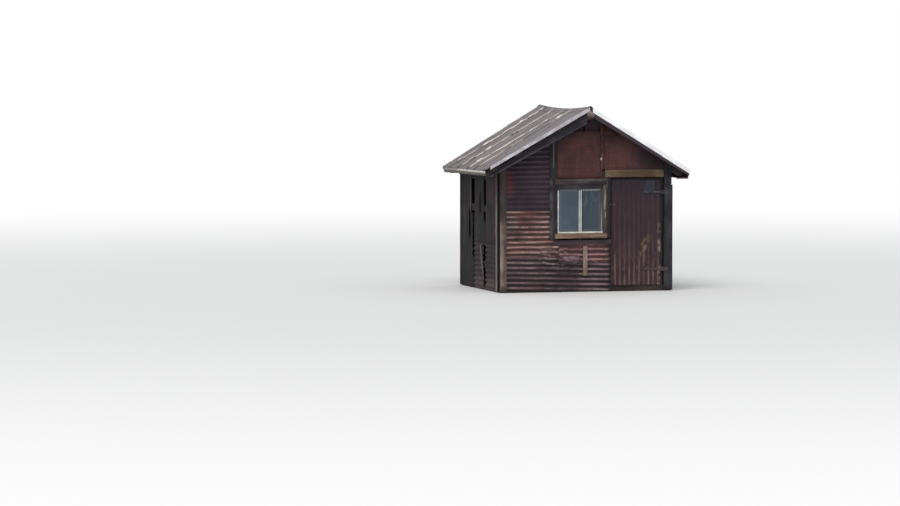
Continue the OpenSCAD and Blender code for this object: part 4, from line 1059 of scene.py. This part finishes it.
def head_board(name):
    """Grey board with a pale upper half; its lower half is dark with damp towards the door."""
    f = Finish(name)
    colour, relief, fibre = grained(f, "X", tone(46, 38, 40), tone(74, 64, 66), tone(100, 89, 88), 28)
    wet = f.waver(f.z, f.noise(6), 0.012)
    wet = f.times(f.fade(wet, 1.492, 1.502), f.spread(f.x, -0.02, 0.05, 0.25, 1.0))
    colour = f.mix(wet, colour, tone(48, 41, 44))
    return f.wood(colour, fibre, relief, 0.0026, 0.22)


bare_wood = timber("bare_wood", "Z", tone(110, 98, 86), tone(138, 126, 112), tone(160, 150, 136), 27)
splinter("casing_splinter", "hut", "board_light", bare_wood, (0.252, board_face, 1.105),
         (0.262, board_face, 1.392), 0.026, 0.004, 0.004)
splinter("casing_splinter_low", "hut", "board_light", bare_wood, (0.262, board_face, 0.99),
         (0.268, board_face, 1.09), 0.014, 0.003, 0.003)
board("window_head_board", "window_head_plank", "X", "board_grey", head_board("head_board_wood"), 0.003,
      0.005)
board("window_sill", "window_sill_boards", "X", "board_light",
      board_finish("sill_wood", "X", tone(100, 78, 64), tone(140, 114, 98), tone(168, 144, 124), 29), 0.003,
      0.003)
board("window_apron", "apron_board", "X", "board_dark",
      board_finish("apron_wood", "X", tone(54, 42, 50), tone(74, 60, 67), tone(94, 80, 84), 30), 0.002, 0.003)

# Board over the door
# A newer plank, still olive-brown, nailed across the top of the door opening. Its left end
# laps the casing, and its lower edge is nearly black.
board("door_header", "door_head_plank", "X", "board_light",
      board_finish("door_head_wood", "X", tone(74, 59, 44), tone(100, 82, 64), tone(124, 106, 84), 31,
                   foot=1.540), 0.003, 0.003)
wear("door_stops", timber("stop_timber", "Z", tone(22, 19, 22), tone(38, 34, 38), tone(56, 50, 52), 32))

# Upright stick
# A sawn lath, pale and worn at its edges, nailed upright over the crumpled sheet under the
# window, from the apron down.
board("wall_batten", "pale_lath", "Z", "board_light",
      board_finish("lath_wood", "Z", tone(104, 84, 76), tone(134, 112, 102), tone(156, 138, 126), 33), 0.002,
      0.004)

# Side walls
# Above, thin grey-brown panels with torn upright gaps between them, below, corrugated iron,
# and at the front edge a wider board. On the left wall a pale lath shows beside a long gap.
for side, seed in (("left", 34), ("right", 35)):
    panels = reshape(side + "_wall_panels", side + "_wall_boards")
    cut_across(panels, 2, 0.035)
    cut_across(panels, 1, 0.09)
    pull_edge(panels, 1, -0.935, 0.003)
    rumple(panels, 0.010, 0.05, "Y")
    rumple(panels, 0.005, 0.30, "X")
    f = Finish(side + "_wall_wood")
    colour, relief, fibre = grained(f, "Z", tone(26, 23, 26), tone(37, 34, 36), tone(52, 46, 47), seed)
    front_part = f.times(f.spread(f.y, -0.30, -0.33), f.spread(f.noise(3), 0.4, 0.6))
    colour = f.stain(colour, front_part, 0.85, tone(61, 39, 42))
    bleached = f.mix(f.spread(fibre, 0.36, 0.6), tone(96, 86, 84), tone(138, 126, 122))
    bleached = f.mix(f.spread(f.waver(f.z, f.noise(3), 0.5), 1.2, 1.7, 0.0, 0.85), bleached, tone(62, 54, 57))
    inner_edge = f.waver(f.y, f.noise(6), 0.05)
    bleached = f.mix(f.spread(inner_edge, -0.835, -0.79), bleached, tone(46, 38, 41))
    colour = f.mix(f.spread(f.y, -0.7830, -0.7840), colour, bleached)
    # Painted shade: the front edge of the panels is painted nearly black for the dark recess by the corner
    # post.
    front_gap_shade = f.waver(f.y, f.noise(4, f.stretch(1, 1, 0.7)), 0.03)
    colour = f.mix(f.spread(front_gap_shade, -0.888, -0.893, 0.0, 0.95), colour, tone(13, 10, 13))
    gloss, dulled = 0.22, 0.22
    # Painted shade: the two torn slits are painted black, without gloss, for the shade inside them.
    for place, width, low, high in ((0.312, 0.040, 0.40, 1.02), (0.500, 0.030, 0.64, 1.06)):
        shift = (0, 9 * place, 0)
        seam = f.plus(f.y, f.times(f.minus(f.noise(7, f.stretch(1, 1, 1.5, shift)), 0.5), 0.06))
        seam = f.times(f.band(seam, place, width, 0.014), f.spread(f.z, low, low + 0.06))
        seam = f.times(seam, f.fade(f.z, high, high + 0.06))
        seam = f.times(seam, f.spread(f.noise(16, f.stretch(1, 1, 1.3, shift)), 0.40, 0.46, 0.55, 1.0))
        colour = f.mix(seam, colour, tone(3, 2, 5))
        dulled = f.times(dulled, f.minus(1.0, seam))
    lath = f.times(f.band(f.y, 0.455, 0.02, 0.006), f.spread(f.z, 1.02, 1.06))
    colour = f.stain(colour, lath, 0.6, tone(98, 80, 74))
    panel_wood = f.finish(colour, f.spread(fibre, 0, 1, 0.7, 0.95), relief, 0.0026, gloss=gloss,
                          dulled=dulled)
    rest_on(panels, "hut", "board_grey", panel_wood, side + "_wall_panels")


def side_shade(f, colour, cloud):
    """Damp has darkened the front sheet under the panels; the foot of the sheets is dusty."""
    level = f.waver(f.z, f.noise(4), 0.10)
    damp = f.times(f.spread(level, 0.26, 0.36, 0.0, 0.6), f.spread(f.y, -0.22, -0.28))
    colour = f.mix(damp, colour, tone(34, 22, 27))
    return f.stain(colour, f.spread(level, 0.27, 0.17), 0.35, tone(104, 84, 84))


side_iron = iron_sheet("iron_side", 0, 0, rib, tone(38, 29, 33), tone(55, 42, 46), tone(74, 59, 61),
                       tone(72, 48, 47), 0.35, side_shade)
for side in ("left", "right"):
    node = side + "_wall_sheets"
    piece = reshape(node, side + "_wall_iron")
    cut_across(piece, 1, 0.05)
    keep_flat(piece, 1)
    rumple(piece, 0.003, 0.28, "X")
    rest_on(piece, "hut", "sheet_rust", side_iron, node, angle=0.7)
    sign = -1 if side == "left" else 1
    lapped = lap if side == "right" else 0
    places = [(sign * (1.2175 + (lapped if y < -0.3 else 0)), y, rib * k) for y in (0.22, -0.16, -0.36, -0.72)
              for k in (2, 5, 8)]
    places += [(sign * 1.2115, y, z) for y in (0.83, 0.50, 0.20, -0.17, -0.37, -0.72)
               for z in (0.70, 1.12, 1.50)]
    nail_row(side + "_wall_nails", "hut", "iron", nail_iron, nail_head, places, (sign, 0, 0))

# A pale lath leans beside the torn slot between the lower sheets of the left wall.
splinter("left_slot_lath", "hut", "board_light",
         timber("slot_lath_wood", "Z", tone(70, 58, 62), tone(98, 84, 88), tone(124, 110, 112), 43),
         (-1.2235, -0.100, 0.61), (-1.2235, -0.262, 0.13), 0.062, 0.005, 0.004, -math.pi / 2)

# One lath sits in the long gap of the right wall, its lower end broken off; it is kept dark as painted shade,
# so that no light shows through.
lath = new_piece("right_gap_lath", bpy.ops.mesh.primitive_grid_add, (0.50, 0.128, 1), x_subdivisions=18,
                 y_subdivisions=3, size=1, location=(1.2045, 0.324, 1.37), rotation=(0, math.pi / 2, 0))
for v in lath.data.vertices:
    if v.co.z < 1.14:
        v.co.z -= 0.05 * abs(math.sin(60 * v.co.y))
rumple(lath, 0.004, 0.10, "Y")
apply(lath, "SOLIDIFY", thickness=0.006, offset=0)
bevel(lath, 0.001, 1)
rest_on(lath, "hut", "board_dark", timber("gap_lath", "Z", tone(28, 24, 26), tone(42, 37, 38),
                                          tone(58, 51, 50), 41))

# Rear wall
# Three corrugated sheets across the whole wall, lapped like roof tiles, under two panels in
# the gable, with the same rust as in front.
rear = reshape("rear_sheets", "rear_wall_iron")
cut_across(rear, 0, 0.06)
keep_flat(rear)
rumple(rear, 0.004, 0.30, "Y")
rear_iron = iron_sheet("iron_rear", 0, 0, rib, tone(56, 44, 46), tone(86, 68, 68), tone(150, 130, 122),
                       tone(104, 66, 50), 0.5)
rest_on(rear, "hut", "sheet_rust", rear_iron, "rear_sheets", angle=0.7)
places = [(x, 0.9785 + lap * (0 if k < 8 else 1 if k < 17 else 2), rib * k)
          for x in (-1.09, -0.72, -0.24, 0.24, 0.72, 1.09) for k in (1, 3, 5, 9, 12, 15, 18, 21, 23)]
nail_row("rear_wall_nails", "hut", "iron", nail_iron, nail_head, places, (0, 1, 0))
paint = panel_paint("paint_rear_gable", tone(62, 34, 36), tone(88, 47, 44), tone(112, 64, 56), 3.4)
board("rear_gable_panels", "rear_gable_boards", "XZ", "panel_red", paint, 0.0015, 0.005, 0.09)

# Hinges and latch
# Two forged strap hinges, nailed through door and corner board, and a small plate with a
# staple at the free edge of the door. The iron is black above and plum-coloured with rust below.
f = Finish("forged_iron")
rusty, pits = f.noise(14, detail=5), f.noise(120)
black_iron = f.mix(f.spread(rusty, 0.4, 0.62), tone(50, 50, 58), tone(74, 72, 80))
plum_iron = f.mix(f.spread(rusty, 0.4, 0.62), tone(60, 45, 49), tone(88, 69, 70))
iron = f.finish(f.mix(f.spread(f.z, 0.5, 0.9, 0.85, 0.0), black_iron, plum_iron),
                f.spread(pits, 0.3, 0.7, 0.5, 0.8), f.plus(rusty, pits), 0.0008, 0.35)


def forged(node, name, body="hut"):
    piece = reshape(node, name)
    bevel(piece, 0.0007)
    return rest_on(piece, body, "iron", iron, node)


strap_heights = (1.338, 0.296)
forged("hinge_plates", "hinge_leaves")
forged("latch_plate", "latch_staple")
leaf_nails = ((1.085, 0.014), (1.11, -0.014), (1.142, 0.012))
places = [(x, -1.0232, z + dz) for z in strap_heights for x, dz in leaf_nails]
nail_row("hinge_leaf_nails", "hut", "iron", iron, strap_nail, places, (0, -1, 0))

# Door
# A ledged frame faced with one corrugated sheet, ribs upright, hung on the strap hinges. The
# sheet is purple-brown, bleached and scuffed in its lower third, with a patch by the hinge.
wear("door_frame", timber("door_timber", "Z", tone(36, 30, 32), tone(56, 48, 48), tone(78, 68, 64), 36))


def door_colours(f, colour, cloud):
    """Dark at the top, bleached below, with a slanting smear and a rubbed free edge."""
    low = f.waver(f.z, f.noise(4.5, f.stretch(6, 1, 1)), 0.55)
    colour = f.mix(f.spread(low, 0.72, 1.12, 0.0, 0.75), colour, tone(54, 37, 44))
    colour = f.mix(f.spread(low, 1.35, 1.85, 0.0, 0.72), colour, tone(38, 32, 39))
    colour = f.mix(f.spread(f.z, 1.497, 1.506, 0.0, 0.85), colour, tone(12, 9, 13))
    scuff = f.noise(7, f.stretch(5, 1, 1.6), 5, 0.65)
    slant = f.minus(f.times(f.minus(f.z, 0.66), 0.45), f.minus(f.x, 0.86))
    smear = f.times(f.band(slant, 0.02, 0.02, 0.05), f.band(f.z, 0.62, 0.06, 0.14))
    colour = f.stain(colour, f.times(smear, f.spread(scuff, 0.46, 0.60)), 0.75, tone(142, 118, 92))
    foot = f.times(f.fade(f.z, 0.15, 0.75), f.spread(scuff, 0.56, 0.68))
    colour = f.stain(colour, foot, 0.5, tone(138, 112, 104))
    edge = f.times(f.spread(f.x, 1.0, 1.015), f.spread(f.noise(9, f.stretch(1, 1, 1.4)), 0.48, 0.58))
    edge = f.times(edge, f.fade(f.z, 0.75, 1.0))
    return f.stain(colour, edge, 0.75, tone(140, 118, 110))


first_crest = 0.3571 + 0.0339
door_iron = iron_sheet("iron_door", first_crest, 0, rib, tone(58, 42, 48), tone(82, 62, 66),
                       tone(140, 112, 108), tone(104, 60, 54), 0.62, door_colours, "X")
piece = reshape("door_sheet", "door_iron_sheet")
cut_across(piece, 2, 0.05)
keep_flat(piece)
rumple(piece, 0.003, 0.28, "Y")
rest_on(piece, "door", "door_metal", door_iron, "door_sheet", angle=0.7)
places = [(first_crest + rib * k, front_face, z) for k in range(0, 10, 2) for z in (0.125, 0.80, 1.47)]
nail_row("door_nails", "door", "iron", nail_iron, nail_head, places, (0, -1, 0))
forged("door_straps", "strap_hinges", "door")
places = [(x, -1.0213, z) for z in strap_heights for x in (0.825, 0.90, 0.99)]
nail_row("strap_nails", "door", "iron", iron, strap_nail, places, (0, -1, 0))
patch = reshape("door_patch", "door_patch_plate")
cut_across(patch, 0, 0.02)
cut_across(patch, 2, 0.02)
rumple(patch, 0.004, 0.05, "Y")
f = Finish("patch_metal")
blot = f.noise(12, detail=5)
colour = f.mix(f.spread(blot, 0.38, 0.62), tone(34, 34, 44), tone(48, 48, 60))
lower_edge = f.times(f.fade(f.z, 1.345, 1.356), f.spread(f.noise(20), 0.4, 0.55))
colour = f.stain(colour, lower_edge, 0.8, tone(104, 98, 104))
rest_on(patch, "door", "iron", f.finish(colour, f.spread(blot, 0.3, 0.7, 0.55, 0.75), blot, 0.0015, 0.2),
        "door_patch")
forged("door_pull", "door_pull_plate", "door")

# Wire loop
# A loop of thin fence wire, bent from one length and longer than wide. It hangs on the face of
# the left corner board.
loop = new_piece("wire_loop", bpy.ops.mesh.primitive_circle_add, vertices=10, radius=0.0016,
                 location=(-1.078, board_face, 1.0), rotation=(0, 0, 0))
edit_mode()
bpy.ops.mesh.select_all(action="SELECT")
bpy.ops.mesh.spin(steps=36, angle=math.radians(300), center=(-1.106, board_face, 1.0), axis=(0, 1, 0))
bpy.ops.mesh.select_all(action="SELECT")
bpy.ops.transform.resize(value=(0.72, 1, 1.9), center_override=(-1.106, board_face, 1.0))
bpy.ops.mesh.remove_doubles(threshold=0.0001)
bpy.ops.mesh.normals_make_consistent(inside=False)
object_mode()
rest_on(loop, "hut", "iron", iron)

# Floor, light and camera
# Not part of the hut: a pale level floor, one soft lamp high in front and an even pale sky.
bpy.ops.object.select_all(action="DESELECT")
bpy.ops.mesh.primitive_grid_add(x_subdivisions=4, y_subdivisions=4, size=400, location=(0, 0, -0.001))
ground = bpy.context.object
ground.name = "pale_floor"
f = Finish("pale_floor")
far = f.spread(f.node("VectorMath", {0: f.place}, "Value", operation="LENGTH"), 6.0, 30.0)
camera_ray = f.node("LightPath", {}, "Is Camera Ray")
white = f.node("Emission", {"Color": (1, 1, 1, 1), "Strength": 1.0})
f.shader.inputs["Base Color"].default_value = tone(222, 221, 218)
f.shader.inputs["Roughness"].default_value = 0.95
f.shader.inputs["Specular IOR Level"].default_value = 0.1
shown = f.node("MixShader", {0: f.times(far, camera_ray), 1: f.shader.outputs[0], 2: white})
f.tree.links.new(shown, f.tree.nodes["Material Output"].inputs["Surface"])
ground.data.materials.append(f.material)

world = bpy.data.worlds.new("pale_sky")
bpy.context.scene.world = world
world.use_nodes = True
sky = world.node_tree
path = sky.nodes.new("ShaderNodeLightPath")
seen = sky.nodes.new("ShaderNodeMath")
seen.operation = "MAXIMUM"
sky.links.new(path.outputs["Is Camera Ray"], seen.inputs[0])
sky.links.new(path.outputs["Is Transmission Ray"], seen.inputs[1])
blend_sky = sky.nodes.new("ShaderNodeMix")
blend_sky.data_type = "RGBA"
blend_sky.inputs[6].default_value = (0.66, 0.68, 0.71, 1)
blend_sky.inputs[7].default_value = (1, 1, 1, 1)
sky.links.new(seen.outputs[0], blend_sky.inputs[0])
sky.links.new(blend_sky.outputs[2], sky.nodes["Background"].inputs["Color"])

bpy.ops.object.light_add(type="SUN", location=(-4, -6, 8))
lamp = bpy.context.object
lamp.data.energy = 1.5
lamp.data.angle = math.radians(45)
sun_way = (0.32, 0.50, -0.80)
lamp.rotation_euler = Vector(sun_way).to_track_quat("-Z", "Y").to_euler()

eye, view_way = (-14.7398, -48.4700, 3.0189), (0.26079, 0.96409, -0.05019)
bpy.ops.object.camera_add(location=eye)
camera = bpy.context.object
camera.rotation_euler = Vector(view_way).to_track_quat("-Z", "Y").to_euler()
camera.data.lens = 147.6
camera.data.sensor_width = 36
camera.data.clip_end = 600
bpy.context.scene.camera = camera
bpy.context.scene.view_settings.view_transform = "Standard"
